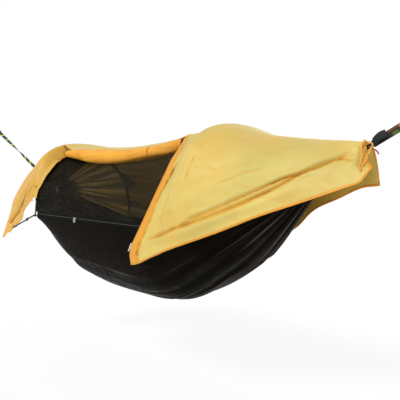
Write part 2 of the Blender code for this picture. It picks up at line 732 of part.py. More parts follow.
def build_net_sliders():
    start, along, up, out = zip_frame()
    for word, way in (("left", -1), ("right", 1)):
        place = (NET_SLIDER_PLACE + POLE_OFFSET + way * NET_SLIDER_SPACING / 2) / along.x
        centre = start + along * place
        body = slider_body(f"net_zip_{word}_slider", centre, along, up, out,
                           ZIP_CHAIN_GAP - 2 * TOUCH_GAP, ZIP_TAPE_THICKNESS, "grey_steel")
        outward = out if out.y < 0 else -out
        face = centre + outward * (ZIP_TAPE_THICKNESS / 2 + TOUCH_GAP + SLIDER_WALL)
        add_pin(body, f"net_zip_{word}_stub", face, outward)
        down = Vector((0.0, 0.0, -1.0))
        down = (down - outward * down.dot(outward)).normalized()
        pull_tab(f"net_zip_{word}_pull", face + outward * TOUCH_GAP, outward, down, outward.cross(down),
                 PULL_LENGTH, "white_pull")


def add_pin(body, name, face, outward):
    """A stub on a slider's face that its pull hangs on."""
    bm = bmesh.new()
    side = outward.orthogonal().normalized()
    across = outward.cross(side)
    sides = 10
    rings = []
    for height in (-SLIDER_WALL / 2, PULL_PIN_LENGTH):
        rings.append([
            face + outward * height
            + side * (PULL_PIN_RADIUS * math.cos(2 * math.pi * k / sides))
            + across * (PULL_PIN_RADIUS * math.sin(2 * math.pi * k / sides))
            for k in range(sides)
        ])
    rings_to_solid(bm, rings)
    pin = add_object(name, bm, "grey_steel", face)
    boolean(body, pin, "UNION")


# Ends: whipping, rope, carabiner and strap

ACROSS = Vector((0.0, 1.0, 0.0))
OUTER_BAR_PLACE = CARABINER_BAR_PLACE + CARABINER_LENGTH


def arc(centre, first, second, radius, start, end, count):
    """Points on an arc in the plane of two directions, with angles in degrees."""
    made = []
    for k in range(count + 1):
        angle = math.radians(start + (end - start) * k / count)
        made.append(centre + first * (radius * math.cos(angle)) + second * (radius * math.sin(angle)))
    return made


def ring_lathe(name, base, axis, side, profile, sides, finish):
    """A turned ring from a closed outline of (radius, height) rows."""
    bm = bmesh.new()
    across = axis.cross(side).normalized()
    rings = []
    for radius, height in profile:
        rings.append([
            base + axis * height
            + side * (radius * math.cos(2 * math.pi * k / sides))
            + across * (radius * math.sin(2 * math.pi * k / sides))
            for k in range(sides)
        ])
    rings_to_solid(bm, rings, closed=True)
    return add_object(name, bm, finish)


def build_wrap(word, gather, inward):
    """The whipping that binds bed and net together at one end."""
    bore = GATHER_RADIUS * GATHER_CORNER_SHARE + TOUCH_GAP
    ridge = bore + WRAP_THICKNESS
    valley = bore + WRAP_THICKNESS / 2
    turns = 4
    pitch = WRAP_LENGTH / turns
    profile = [(bore, TOUCH_GAP), (valley, TOUCH_GAP)]
    for turn in range(turns):
        profile += [(ridge, TOUCH_GAP + pitch * (turn + 1 / 2)), (valley, TOUCH_GAP + pitch * (turn + 1))]
    profile.append((bore, TOUCH_GAP + WRAP_LENGTH))
    ring_lathe(f"{word}_gather_wrap", gather, inward, ACROSS, profile, 16, "black_cord")


def build_rope(word, gather, along, up):
    bar = gather + along * CARABINER_BAR_PLACE
    turn = CARABINER_RADIUS + ROPE_RADIUS + TOUCH_GAP
    mouth = gather - along * (ROPE_INSET - ROPE_MOUTH_HALF_WIDTH)
    path = arc(bar, along, ACROSS, turn, -80, 80, 6)
    path += arc(mouth, along, ACROSS, ROPE_MOUTH_HALF_WIDTH, 100, 260, 8)
    tube(f"{word}_suspension_rope", path, ROPE_RADIUS, "black_cord", up, 8, closed=True)


def build_carabiner(word, gather, along, up):
    middle = gather + along * (CARABINER_BAR_PLACE + CARABINER_LENGTH / 2)
    half_length, half_width = CARABINER_LENGTH / 2, CARABINER_WIDTH / 2
    corner = CARABINER_CORNER
    gate_side = middle + up * half_width
    hinge_end = gate_side - along * (GATE_LENGTH / 2 + GATE_GAP)
    nose_end = gate_side + along * (GATE_LENGTH / 2 + GATE_GAP)
    path = [hinge_end]
    for way_along, way_up, start in ((-1, 1, 90), (-1, -1, 180), (1, -1, 270), (1, 1, 0)):
        centre = middle + along * (way_along * (half_length - corner)) + up * (way_up * (half_width - corner))
        path += arc(centre, along, up, corner, start, start + 90, 3)
    path.append(nose_end)
    body = tube(f"{word}_carabiner_body", path, CARABINER_RADIUS, "bare_aluminium", ACROSS, 8)
    gate_depth = 2 * (CARABINER_RADIUS - CHEEK_THICKNESS)
    pivot = gate_side - along * (GATE_LENGTH / 2 - GATE_RADIUS)
    hole = arc(pivot, along, up, GATE_PIN_RADIUS + TOUCH_GAP, 0, 324, 9)
    outline = arc(pivot, along, up, GATE_RADIUS, 90, 270, 6)
    nose = gate_side + along * (GATE_LENGTH / 2)
    outline += [nose - up * GATE_RADIUS, nose + up * GATE_RADIUS]
    prism(f"{word}_carabiner_gate", outline, [hole], ACROSS * gate_depth, "grey_steel", pivot)
    cheek_place = (gate_depth + CHEEK_THICKNESS) / 2 + TOUCH_GAP
    for way, side_word in ((-1, "near"), (1, "far")):
        centre = pivot + ACROSS * (way * cheek_place)
        cheek = arc(centre, along, up, GATE_RADIUS, -90, 90, 6)
        back = centre - along * (GATE_RADIUS * 4)
        cheek += [back + up * GATE_RADIUS, back - up * GATE_RADIUS]
        cheek_hole = arc(centre, along, up, GATE_PIN_RADIUS + TOUCH_GAP, 0, 324, 9)
        part = prism(f"{word}_carabiner_{side_word}_cheek", cheek, [cheek_hole],
                     ACROSS * CHEEK_THICKNESS, "bare_aluminium")
        boolean(body, part, "UNION")
    reach = cheek_place + CHEEK_THICKNESS / 2
    tube(f"{word}_gate_pin", [pivot - ACROSS * reach, pivot + ACROSS * reach], GATE_PIN_RADIUS,
         "grey_steel", up, 10)


def strap_point(gather, along, place):
    return gather + along * (OUTER_BAR_PLACE + place)


def build_strap(word, gather, along, up, length, twist):
    """A strap with a sewn eye round the carabiner's outer bar and a larger eye for the tree."""
    bend = CARABINER_RADIUS + TOUCH_GAP
    bar = strap_point(gather, along, 0.0)
    neck = strap_point(gather, along, STRAP_NECK_PLACE)
    layer = ACROSS * STRAP_THICKNESS
    hole = arc(bar, along, ACROSS, bend, 80, 280, 8) + [neck]
    outline = arc(bar, along, ACROSS, bend + STRAP_THICKNESS, 80, 280, 8)
    outline += [neck - layer, neck - layer + along * STRAP_NECK_PLACE,
                neck + layer + along * STRAP_NECK_PLACE, neck + layer]
    body = prism(f"{word}_tree_strap", outline, [hole], up * STRAP_BUNCHED_WIDTH, "black_webbing")
    eye = strap_point(gather, along, length)
    end = strap_point(gather, along, length + TREE_EYE_LENGTH)
    rise = ACROSS * (TREE_EYE_HEIGHT / 2)
    shoulder = rise * TREE_EYE_SHOULDER_SHARE
    eye_hole = [eye, end - shoulder - along * TREE_EYE_HEIGHT, end - rise - along * (TREE_EYE_HEIGHT / 2),
                end - rise / 2, end + rise / 2, end + rise - along * (TREE_EYE_HEIGHT / 2),
                end + shoulder - along * TREE_EYE_HEIGHT]
    skin = STRAP_THICKNESS
    eye_outline = [eye - along * STRAP_NECK_PLACE - layer, eye - layer,
                   end - shoulder - along * TREE_EYE_HEIGHT - layer,
                   end - rise - along * (TREE_EYE_HEIGHT / 2) - layer,
                   end - rise / 2 - layer + along * skin, end + rise / 2 + layer + along * skin,
                   end + rise - along * (TREE_EYE_HEIGHT / 2) + layer,
                   end + shoulder - along * TREE_EYE_HEIGHT + layer,
                   eye + layer, eye - along * STRAP_NECK_PLACE + layer]
    loop = prism(f"{word}_tree_eye", eye_outline, [eye_hole], up * STRAP_WIDTH, "black_webbing")
    boolean(body, loop, "UNION")
    first, last = STRAP_NECK_PLACE * 3 / 2, length - STRAP_NECK_PLACE / 2
    steps = STRAP_TWIST_STEPS if twist else 2
    path = [strap_point(gather, along, STRAP_NECK_PLACE * 5 / 4)]
    halves = [up * (STRAP_BUNCHED_WIDTH / 2 - TOUCH_GAP)]
    for k in range(steps + 1):
        share = k / steps
        turned = (share - STRAP_TWIST_START_SHARE) / (STRAP_TWIST_END_SHARE - STRAP_TWIST_START_SHARE)
        angle = twist * min(1.0, max(0.0, turned))
        path.append(strap_point(gather, along, first + (last - first) * share))
        halves.append((up * math.cos(angle) + ACROSS * math.sin(angle)) * (STRAP_WIDTH / 2 - TOUCH_GAP))
    band = ribbon(f"{word}_strap_band", path, halves, STRAP_THICKNESS, "black_webbing")
    boolean(body, band, "UNION")


def tie_route(centre, along, up, half_height, half_depth):
    """A cord's route: a tail, two turns round the strap and a second tail."""
    turns, steps = 2, 12
    pitch = TIE_PITCH
    near = -ACROSS
    route = []
    for share in TIE_TAIL_SHARES:
        route.append(centre - along * pitch + near * (half_depth + TIE_TAIL * share[0]) - up * (TIE_TAIL * share[1]))
    for k in range(turns * steps + 1):
        angle = 2 * math.pi * (k / steps)
        cosine, sine = math.cos(angle), math.sin(angle)
        route.append(
            centre
            + along * (pitch * (k / steps - 1))
            + near * (half_depth * math.copysign(abs(cosine) ** TIE_SQUARENESS_SHARE, cosine))
            + up * (half_height * math.copysign(abs(sine) ** TIE_SQUARENESS_SHARE, sine))
        )
    for share in reversed(TIE_TAIL_SHARES):
        route.append(centre + along * pitch + near * (half_depth + TIE_TAIL * share[0]) - up * (TIE_TAIL * share[1]))
    return route


def build_fly_tie(word, gather, along, up, place, strap_width, strap_depth, slack):
    """A tie round the strap, with slack that reaches up to the fly's end."""
    centre = gather + along * place + up * (slack / 2)
    clear = TIE_CORD_RADIUS + 2 * TOUCH_GAP
    route = tie_route(centre, along, up, (strap_width + slack) / 2 + clear, strap_depth / 2 + clear)
    tube(f"{word}_fly_tie", route, TIE_CORD_RADIUS, "orange_tape", along, 6)


def build_end(side, word, strap_length, twist, fly_reach, tie_slack):
    gather, along, up = end_axes(side)
    build_wrap(word, gather, Vector((-side, 0.0, 0.0)))
    build_rope(word, gather, along, up)
    build_carabiner(word, gather, along, up)
    build_strap(word, gather, along, up, strap_length, twist)
    place = (fly_reach - abs(gather.x)) / abs(along.x)
    past_neck = min(1.0, (place - 2 * TIE_PITCH - OUTER_BAR_PLACE) / STRAP_NECK_PLACE)
    eye_depth = 2 * (CARABINER_RADIUS + TOUCH_GAP + STRAP_THICKNESS)
    neck_depth = 2 * STRAP_THICKNESS if past_neck < 1 else STRAP_THICKNESS
    depth = eye_depth + (neck_depth - eye_depth) * past_neck
    width = STRAP_WIDTH if past_neck == 1 else STRAP_BUNCHED_WIDTH
    build_fly_tie(word, gather, along, up, place, width, depth, tie_slack)


# Rolled door

FLY_HALF_WIDTH = POLE_HALF_WIDTH + SLEEVE_BORE_RADIUS + SLEEVE_CLOTH + FLY_POLE_GAP + FLY_CLOTH
FLY_RIDGE_HEIGHT = POLE_APEX_HEIGHT + FLY_RIDGE_STANDOFF


def fly_x(place):
    """The x of a place along the fly."""
    reach = FLY_LEFT_REACH if place < 0 else FLY_RIGHT_REACH
    past_pole = max(0.0, abs(place) - 1)
    return math.copysign(POLE_OFFSET * min(1.0, abs(place)) + (reach - POLE_OFFSET) * past_pole, place)


def fly_height(share):
    return share * (FLY_RIDGE_HEIGHT if share > 0 else POLE_FOOT_DROP)


def fly_point(shares):
    """The point that shares of (place, across, height) stand for."""
    place, across, height = shares
    return Vector((fly_x(place), across * FLY_HALF_WIDTH, fly_height(height)))


ROLL = tuple(
    (fly_x(place), Vector((across * FLY_HALF_WIDTH, height * FLY_RIDGE_HEIGHT, radius * ROLL_RADIUS)))
    for place, across, height, radius in ROLL_SHARES
)


def roll_at(x):
    """The roll's centre (y, z) and radius at x."""
    return hermite(ROLL, x)


def roll_ring(x, radius):
    middle = roll_at(x)
    return [
        Vector((x, middle.x + radius * math.cos(2 * math.pi * k / ROLL_SIDES),
                middle.y + radius * math.sin(2 * math.pi * k / ROLL_SIDES)))
        for k in range(ROLL_SIDES)
    ]


def build_roll():
    bm = bmesh.new()
    count = 20
    rings = []
    for k in range(count + 1):
        x = ROLL[0][0] + (ROLL[-1][0] - ROLL[0][0]) * k / count
        size = roll_at(x).z
        rings.append(roll_ring(x, size * (ROLL_END_SHARE if k in (0, count) else 1)))
    rings_to_solid(bm, rings)
    add_object("rolled_door", bm, "yellow_ripstop")
    for word, place in zip(("left", "right"), map(fly_x, ROLL_TIE_SHARES)):
        half = ROLL_TIE_WIDTH / 2
        size = max(roll_at(place - half * 3 / 2).z, roll_at(place + half * 3 / 2).z) + TOUCH_GAP
        bm = bmesh.new()
        inner, outer = size, size + ROLL_TIE_THICKNESS
        rings = [roll_ring(place - half, inner), roll_ring(place - half, outer),
                 roll_ring(place + half, outer), roll_ring(place + half, inner)]
        rings_to_solid(bm, rings, closed=True)
        add_object(f"roll_tie_{word}", bm, "orange_tape")


# Rain fly

def fly_side(ridge, foot, hem, squareness):
    """Rows from the ridge to the hem: an arch down to the foot and then straight on to the hem."""
    rows = []
    for k in range(FLY_ROWS + 1):
        if k <= FLY_FOOT_ROWS:
            angle = math.pi / 2 * k / FLY_FOOT_ROWS
            across, down = math.sin(angle) ** squareness, math.cos(angle) ** squareness
            share = k / FLY_FOOT_ROWS
            rows.append(Vector((ridge.x + (foot.x - ridge.x) * share, foot.y * across,
                                foot.z + (ridge.z - foot.z) * down)))
        else:
            share = (k - FLY_FOOT_ROWS) / (FLY_ROWS - FLY_FOOT_ROWS)
            rows.append(foot.lerp(hem, share))
    return rows


DOOR_LEFT_STATION, DOOR_RIGHT_STATION = 3, 7
DOOR_ZIP_TOP = fly_point(DOOR_ZIP_TOP_SHARES)
DOOR_ZIP_FOOT = fly_point(DOOR_ZIP_FOOT_SHARES)
FLY_RIDGE = tuple((fly_x(place), fly_height(height)) for place, height in FLY_RIDGE_SHARES)


def fly_ridge(x):
    return hermite(FLY_RIDGE, x)


def door_edge():
    """The near panel's free edge beside the door, from the ridge to its lower corner."""
    x = fly_x(FLY_COLUMN_SHARES[DOOR_RIGHT_STATION][0])
    rows = [Vector((x, 0.0, fly_ridge(x)))]
    rows += [fly_point(shares) for shares in DOOR_EDGE_SHARES]
    steps = FLY_ROWS - 1 - len(rows)
    rows += [DOOR_ZIP_TOP.lerp(DOOR_ZIP_FOOT, k / steps) for k in range(steps + 1)]
    rows.append(fly_point(DOOR_CORNER_SHARES))
    return rows


def fly_stations():
    """Columns of the fly as (far rows, near rows)."""
    made = []
    for place, squareness, far_foot, far_hem, near_foot, near_hem in FLY_COLUMN_SHARES:
        x = fly_x(place)
        ridge = Vector((x, 0.0, fly_ridge(x)))
        far = fly_side(ridge, fly_point(far_foot), fly_point(far_hem), squareness)
        near = fly_side(ridge, fly_point(near_foot), fly_point(near_hem), squareness)
        made.append((far, door_edge() if len(made) == DOOR_RIGHT_STATION else near))
    return made


def fly_column(stations_of_fly, place):
    """A row of points from far hem to near hem, between stations where place isn't whole."""
    rows = []
    for side, order in ((0, range(FLY_ROWS, 0, -1)), (1, range(FLY_ROWS + 1))):
        for row in order:
            table = [(k, station[side][row]) for k, station in enumerate(stations_of_fly)]
            rows.append(hermite(table, place))
    return rows


def in_door(place):
    return DOOR_LEFT_STATION < place < DOOR_RIGHT_STATION


def header_edge(x):
    """Where the fly meets the rolled door, on the roll's upper inner side."""
    middle = roll_at(x)
    reach = middle.z + ROLL_TIE_THICKNESS + 6 * TOUCH_GAP
    angle = math.radians(HEADER_ANGLE)
    return Vector((x, middle.x + reach * math.cos(angle), middle.y + reach * math.sin(angle)))


def crease(place, row):
    """How far the near panel is pushed in along its drawn creases."""
    if row <= FLY_ROWS:
        return 0.0
    share = (row - FLY_ROWS) / FLY_ROWS
    last = CREASE_LAST_STATION
    if place >= DOOR_RIGHT_STATION:
        along = (place - DOOR_RIGHT_STATION) / (last - DOOR_RIGHT_STATION)
        middle = PANEL_CREASE_SHARES[0] + (PANEL_CREASE_SHARES[1] - PANEL_CREASE_SHARES[0]) * along
        strength = math.sin(math.pi * min(1.0, along * 4) / 2) * (1 - along) ** 0.5
        return -FLY_CREASE_DEPTH * strength * math.exp(-((share - middle) / FLY_CREASE_SHARE) ** 2)
    if place < DOOR_LEFT_STATION:
        middle = FLAP_CREASE_STATION + (1 - share)
        fade = max(0.0, share - FLAP_CREASE_START_SHARE) / (1 - FLAP_CREASE_START_SHARE)
        return FLY_CREASE_DEPTH * 2 * fade * math.exp(-((place - middle) / FLAP_CREASE_SPAN_SHARE) ** 2)
    return 0.0


def creased_column(shapes, place):
    """A column with the panels' creases pushed into it."""
    column = fly_column(shapes, place)
    for row, point in enumerate(column):
        push = crease(place, row)
        column[row] = point + Vector((0.0, push, -push / 2))
    return column


def build_fly():
    shapes = fly_stations()
    places = []
    for k in range(len(shapes) - 1):
        places += [k + share / FLY_COLUMNS_BETWEEN for share in range(FLY_COLUMNS_BETWEEN)]
    places.append(len(shapes) - 1)
    header = FLY_ROWS + FLY_HEADER_ROWS
    grid = []
    for place in places:
        column = creased_column(shapes, place)
        if in_door(place):
            x = column[FLY_ROWS].x
            edge = header_edge(x)
            column[header] = edge
            column[header - 1] = column[FLY_ROWS].lerp(edge, 1 / 2) + Vector((0.0, 0.0, FLY_CREASE_DEPTH / 2))
        grid.append(column)
    grid = [list(reversed(column)) for column in grid]

    def has_cell(i, j):
        beyond_header = 2 * FLY_ROWS - j > header
        inside = places[i] >= DOOR_LEFT_STATION and places[i + 1] <= DOOR_RIGHT_STATION
        return not (beyond_header and inside)

    cloth_solid("rain_fly", grid, FLY_CLOTH, "yellow_ripstop", has_cell)
    return shapes


# Door zip on the fly

def door_frame():
    """Along the zip from top to foot, away from the panel within its plane, and outward."""
    along = (DOOR_ZIP_FOOT - DOOR_ZIP_TOP).normalized()
    away = Vector((-math.cos(math.radians(PANEL_TURN)), math.sin(math.radians(PANEL_TURN)), 0.0))
    away = (away - along * away.dot(along)).normalized()
    outward = along.cross(away).normalized()
    return along, away, outward if outward.y < 0 else -outward


def build_door_zip():
    along, away, outward = door_frame()
    shift = away * (DOOR_TAPE_WIDTH / 2 + DOOR_TAPE_CLEARANCE)
    path = [DOOR_ZIP_TOP + shift, DOOR_ZIP_FOOT + shift]
    ribbon("door_zip_tape", path, [away * (DOOR_TAPE_WIDTH / 2)] * 2, DOOR_TAPE_THICKNESS, "orange_tape")
    edge = DOOR_ZIP_FOOT - along * DOOR_SLIDER_INSET + shift + away * (DOOR_TAPE_WIDTH / 2)
    plate_place = (DOOR_TAPE_THICKNESS + SLIDER_WALL) / 2 + TOUCH_GAP
    bm = bmesh.new()
    block(bm, edge, along, away, outward, (SLIDER_LENGTH, SLIDER_HEIGHT, 2 * plate_place + SLIDER_WALL))
    body = add_object("door_zip_slider", bm, "grey_steel", edge)
    bm = bmesh.new()
    block(bm, edge - away * (SLIDER_HEIGHT / 2 - TOUCH_GAP), along, away, outward,
          (SLIDER_LENGTH + 2 * CUT_OVERRUN, SLIDER_HEIGHT, DOOR_TAPE_THICKNESS + 2 * TOUCH_GAP))
    boolean(body, add_object("door_slider_cut", bm, "grey_steel", edge), "DIFFERENCE")
    face = edge + outward * (plate_place + SLIDER_WALL / 2)
    add_pin(body, "door_zip_stub", face, outward)
    down = Vector((0.0, 0.0, -1.0))
    down = (down - outward * down.dot(outward)).normalized()
    pull_tab("door_zip_pull", face + outward * TOUCH_GAP, outward, down, outward.cross(down),
             PULL_LENGTH, "white_pull")


# Corner loop, tie-out webbing, its lock and its tab

def build_corner_pieces(shapes):
    pole = pole_path(-1)
    spot = min(pole[:POLE_STEPS // 2], key=lambda p: abs(p.z + CORNER_LOOP_DROP))
    start = spot + Vector((0.0, -(SLEEVE_BORE_RADIUS + SLEEVE_CLOTH + 2 * TOUCH_GAP), 0.0))
    end = start + Vector((0.0, -CORNER_LOOP_LENGTH, CORNER_LOOP_LENGTH / 2))
    half = Vector((FLY_CORNER_LOOP_WIDTH / 2, 0.0, 0.0))
    ribbon("fly_corner_loop", [start, end], [half, half], TIE_OUT_THICKNESS, "black_webbing")
    column = creased_column(shapes, TAB_STATION)
    hem, above = column[-1], column[-2]
    before = creased_column(shapes, TAB_STATION - TAB_NEIGHBOUR_SHARE)[-1]
    after = creased_column(shapes, TAB_STATION + TAB_NEIGHBOUR_SHARE)[-1]
    up = (above - hem).normalized()
    along = (after - before).normalized()
    outward = up.cross(along).normalized()
    outward = outward if outward.y < 0 else -outward
    lift = outward * TAB_STANDOFF
    path = [hem - up * (TAB_REACH - TAB_SEAM) + lift, hem + up * TAB_SEAM + lift]
    half = along * (TAB_WIDTH / 2)
    ribbon("tie_out_tab", path, [half, half], TAB_THICKNESS, "black_webbing")
    foot = pole[0]
    pocket = TIP_RADIUS + TOUCH_GAP + POCKET_WALL + TOUCH_GAP
    start = foot + Vector((-pocket, 0.0, -TIP_LENGTH / 2))
    middle = hem - up * (TAB_REACH / 2 - TAB_SEAM)
    run = (start - middle).normalized()
    end = middle + run * (TAB_WIDTH / 2) + lift
    run = (end - start).normalized()
    side = run.cross(Vector((0.0, -1.0, 0.0))).normalized()
    half = side * (TIE_OUT_WIDTH / 2)
    start = start + run * (TIE_OUT_WIDTH / 2 * abs(run.z))
    ribbon("tie_out_webbing", [start, end], [half, half], TIE_OUT_THICKNESS, "black_webbing")
    centre = start.lerp(end, LOCK_PLACE_SHARE)
    across = run.cross(side).normalized()
    bm = bmesh.new()
    block(bm, centre, run, side, across, (LOCK_LENGTH, LOCK_WIDTH, LOCK_HEIGHT))
    lock = add_object("tie_out_lock", bm, "black_plastic", centre)
    bm = bmesh.new()
    block(bm, centre, run, side, across,
          (LOCK_LENGTH + 2 * CUT_OVERRUN, TIE_OUT_WIDTH + 2 * TOUCH_GAP, TIE_OUT_THICKNESS + 2 * TOUCH_GAP))
    boolean(lock, add_object("tie_out_slot", bm, "black_plastic", centre), "DIFFERENCE")


def main():
    for obj in list(bpy.data.objects):
        bpy.data.objects.remove(obj, do_unlink=True)
    build_bed()
    build_net()
    for side, word in ((-1, "left"), (1, "right")):
        build_pole(side, word)
    build_net_zip()
    build_net_sliders()
    build_end(-1, "left", STRAP_LEFT_LENGTH, STRAP_TWIST, FLY_LEFT_REACH, 0.0)
    build_end(1, "right", STRAP_RIGHT_LENGTH, 0.0, FLY_RIGHT_REACH, TIE_RIGHT_SLACK)
    build_roll()
    shapes = build_fly()
    build_door_zip()
    build_corner_pieces(shapes)


main()
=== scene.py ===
"""The looks of a hammock tent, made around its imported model.

X runs along the bed, -Y is the side with the door and +Z is up, in metres. The origin lies midway
between the two poles on the line that the straps pull along.
"""

import math

import bpy
import numpy as np
from mathutils import Matrix, Vector


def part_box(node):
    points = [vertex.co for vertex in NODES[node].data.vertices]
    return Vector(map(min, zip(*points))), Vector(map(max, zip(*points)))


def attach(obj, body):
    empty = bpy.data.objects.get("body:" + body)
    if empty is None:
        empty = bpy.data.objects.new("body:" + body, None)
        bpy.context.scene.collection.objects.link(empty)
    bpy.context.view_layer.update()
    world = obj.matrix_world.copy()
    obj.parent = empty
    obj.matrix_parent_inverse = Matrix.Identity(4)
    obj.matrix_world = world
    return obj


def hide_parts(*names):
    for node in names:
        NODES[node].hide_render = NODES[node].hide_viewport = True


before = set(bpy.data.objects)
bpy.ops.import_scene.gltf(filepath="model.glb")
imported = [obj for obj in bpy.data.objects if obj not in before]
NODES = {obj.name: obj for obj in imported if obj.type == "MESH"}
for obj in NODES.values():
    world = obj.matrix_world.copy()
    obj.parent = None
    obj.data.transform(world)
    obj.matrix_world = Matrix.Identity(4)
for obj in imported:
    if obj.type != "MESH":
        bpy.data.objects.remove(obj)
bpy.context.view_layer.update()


# Small helpers

def vec(*numbers):
    return np.array(numbers, float)


def unit(v):
    return v / np.maximum(np.linalg.norm(v, axis=-1, keepdims=True), 1e-12)


def through(table, x):
    """The smooth curve through (x, value) rows."""
    if x <= table[0][0]:
        return table[0][1]
    if x >= table[-1][0]:
        return table[-1][1]
    k = max(i for i in range(len(table) - 1) if table[i][0] <= x)
    x0, p0 = table[k]
    x1, p1 = table[k + 1]
    before = table[k - 1] if k > 0 else table[k]
    after = table[k + 2] if k + 2 < len(table) else table[k + 1]
    m0 = (p1 - before[1]) / (x1 - before[0])
    m1 = (after[1] - p0) / (after[0] - x0)
    span = x1 - x0
    t = (x - x0) / span
    return (p0 * (2 * t**3 - 3 * t**2 + 1) + m0 * (span * (t**3 - 2 * t**2 + t))
            + p1 * (3 * t**2 - 2 * t**3) + m1 * (span * (t**3 - t**2)))


def straight(table, x):
    """The broken line through (x, value) rows."""
    xs, values = zip(*table)
    return np.interp(x, xs, values)


def ease(t):
    """A soft step from 0 to 1."""
    t = np.clip(t, 0.0, 1.0)
    return t * t * (3 - 2 * t)


def waves(u, v, size, seed):
    """Smooth random hills between -1 and 1, about size apart."""
    cells = 64
    table = np.random.default_rng(seed).uniform(-1, 1, (cells, cells))
    a, b = np.asarray(u) / size, np.asarray(v) / size
    i, j = np.floor(a).astype(int), np.floor(b).astype(int)
    s, t = ease(a - i), ease(b - j)
    low = table[i % cells, j % cells] * (1 - s) + table[(i + 1) % cells, j % cells] * s
    high = table[i % cells, (j + 1) % cells] * (1 - s) + table[(i + 1) % cells, (j + 1) % cells] * s
    return low * (1 - t) + high * t


def nearness(x, z, line):
    """Distance to a broken line in the panel's plane, and the share of the way along it."""
    points = np.array(line, float)
    best = np.full(np.shape(x), 1e9)
    share = np.zeros(np.shape(x))
    lengths = np.linalg.norm(np.diff(points, axis=0), axis=1)
    starts = np.concatenate([[0.0], np.cumsum(lengths)])
    for (x0, z0), (x1, z1), start, length in zip(points, points[1:], starts, lengths):
        dx, dz = (x1 - x0) / length, (z1 - z0) / length
        t = np.clip((x - x0) * dx + (z - z0) * dz, 0, length)
        away = np.hypot(x - x0 - dx * t, z - z0 - dz * t)
        closer = away < best
        best = np.where(closer, away, best)
        share = np.where(closer, (start + t) / starts[-1], share)
    return best, share


# Surfaces

class Finish:
    """A procedural surface, with short ways to add nodes to it."""

    def __init__(self, name, roughness=0.6, metallic=0.0):
        self.material = bpy.data.materials.new(name)
        self.material.use_nodes = True
        self.tree = self.material.node_tree
        self.shader = self.tree.nodes["Principled BSDF"]
        self.shader.inputs["Roughness"].default_value = roughness
        self.shader.inputs["Metallic"].default_value = metallic

    def feed(self, socket, value):
        if isinstance(value, bpy.types.NodeSocket):
            self.tree.links.new(value, socket)
        elif value is not None:
            if socket.type == "RGBA" and len(value) == 3:
                value = (*value, 1.0)
            socket.default_value = value

    def set(self, **values):
        for name, value in values.items():
            self.feed(self.shader.inputs[name.replace("_", " ")], value)

    def node(self, kind, settings=None, inputs=None, output=0):
        made = self.tree.nodes.new(kind)
        for key, value in (settings or {}).items():
            setattr(made, key, value)
        for key, value in (inputs or {}).items():
            self.feed(made.inputs[key], value)
        return made.outputs[output]

    def math(self, operation, first, second=None, third=None, clamp=False):
        return self.node("ShaderNodeMath", {"operation": operation, "use_clamp": clamp},
                         {0: first, 1: second, 2: third})

    def span(self, value, low, high, to_low=0.0, to_high=1.0, smooth=True):
        kind = "SMOOTHSTEP" if smooth else "LINEAR"
        return self.node("ShaderNodeMapRange", {"interpolation_type": kind},
                         {0: value, 1: low, 2: high, 3: to_low, 4: to_high})

    def mix(self, share, first, second):
        """A mix of two colours. Its colour sockets share their names with others, so they go by number."""
        return self.node("ShaderNodeMix", {"data_type": "RGBA"}, {0: share, 6: first, 7: second}, output=2)

    def place(self, kind="Object"):
        return self.node("ShaderNodeTexCoord", output=kind)

    def mark(self, name):
        """A number that the mesh holds at each point."""
        return self.node("ShaderNodeAttribute", {"attribute_name": name}, output="Fac")

    def noise(self, scale, detail=3.0, rough=0.55, where=None):
        where = self.place() if where is None else where
        return self.node("ShaderNodeTexNoise", None,
                         {"Vector": where, "Scale": scale, "Detail": detail, "Roughness": rough})

    def stretched(self, scale, kind="UV"):
        return self.node("ShaderNodeMapping", None, {"Vector": self.place(kind), "Scale": scale})

    def split(self, vector):
        made = self.tree.nodes.new("ShaderNodeSeparateXYZ")
        self.feed(made.inputs[0], vector)
        return made.outputs

    def lines(self, value, pitch, width):
        """1 on thin lines a pitch apart."""
        step = self.math("FRACT", self.math("DIVIDE", value, pitch))
        return self.math("LESS_THAN", step, width / pitch)

    def waves(self, value, pitch):
        """A sine between 0 and 1 with the given pitch."""
        sine = self.math("SINE", self.math("MULTIPLY", value, 2 * math.pi / pitch))
        return self.math("MULTIPLY_ADD", sine, 0.5, 0.5)

    def bump(self, height, distance, strength=1.0, onto=None):
        bumped = self.node("ShaderNodeBump", None,
                           {"Height": height, "Distance": distance, "Strength": strength, "Normal": onto})
        self.feed(self.shader.inputs["Normal"], bumped)
        return bumped

    def mix_with(self, share, other):
        """The surface becomes a mix of its own shader and another."""
        mixed = self.node("ShaderNodeMixShader", None, {0: share, 1: self.shader.outputs[0], 2: other})
        self.feed(self.tree.nodes["Material Output"].inputs["Surface"], mixed)


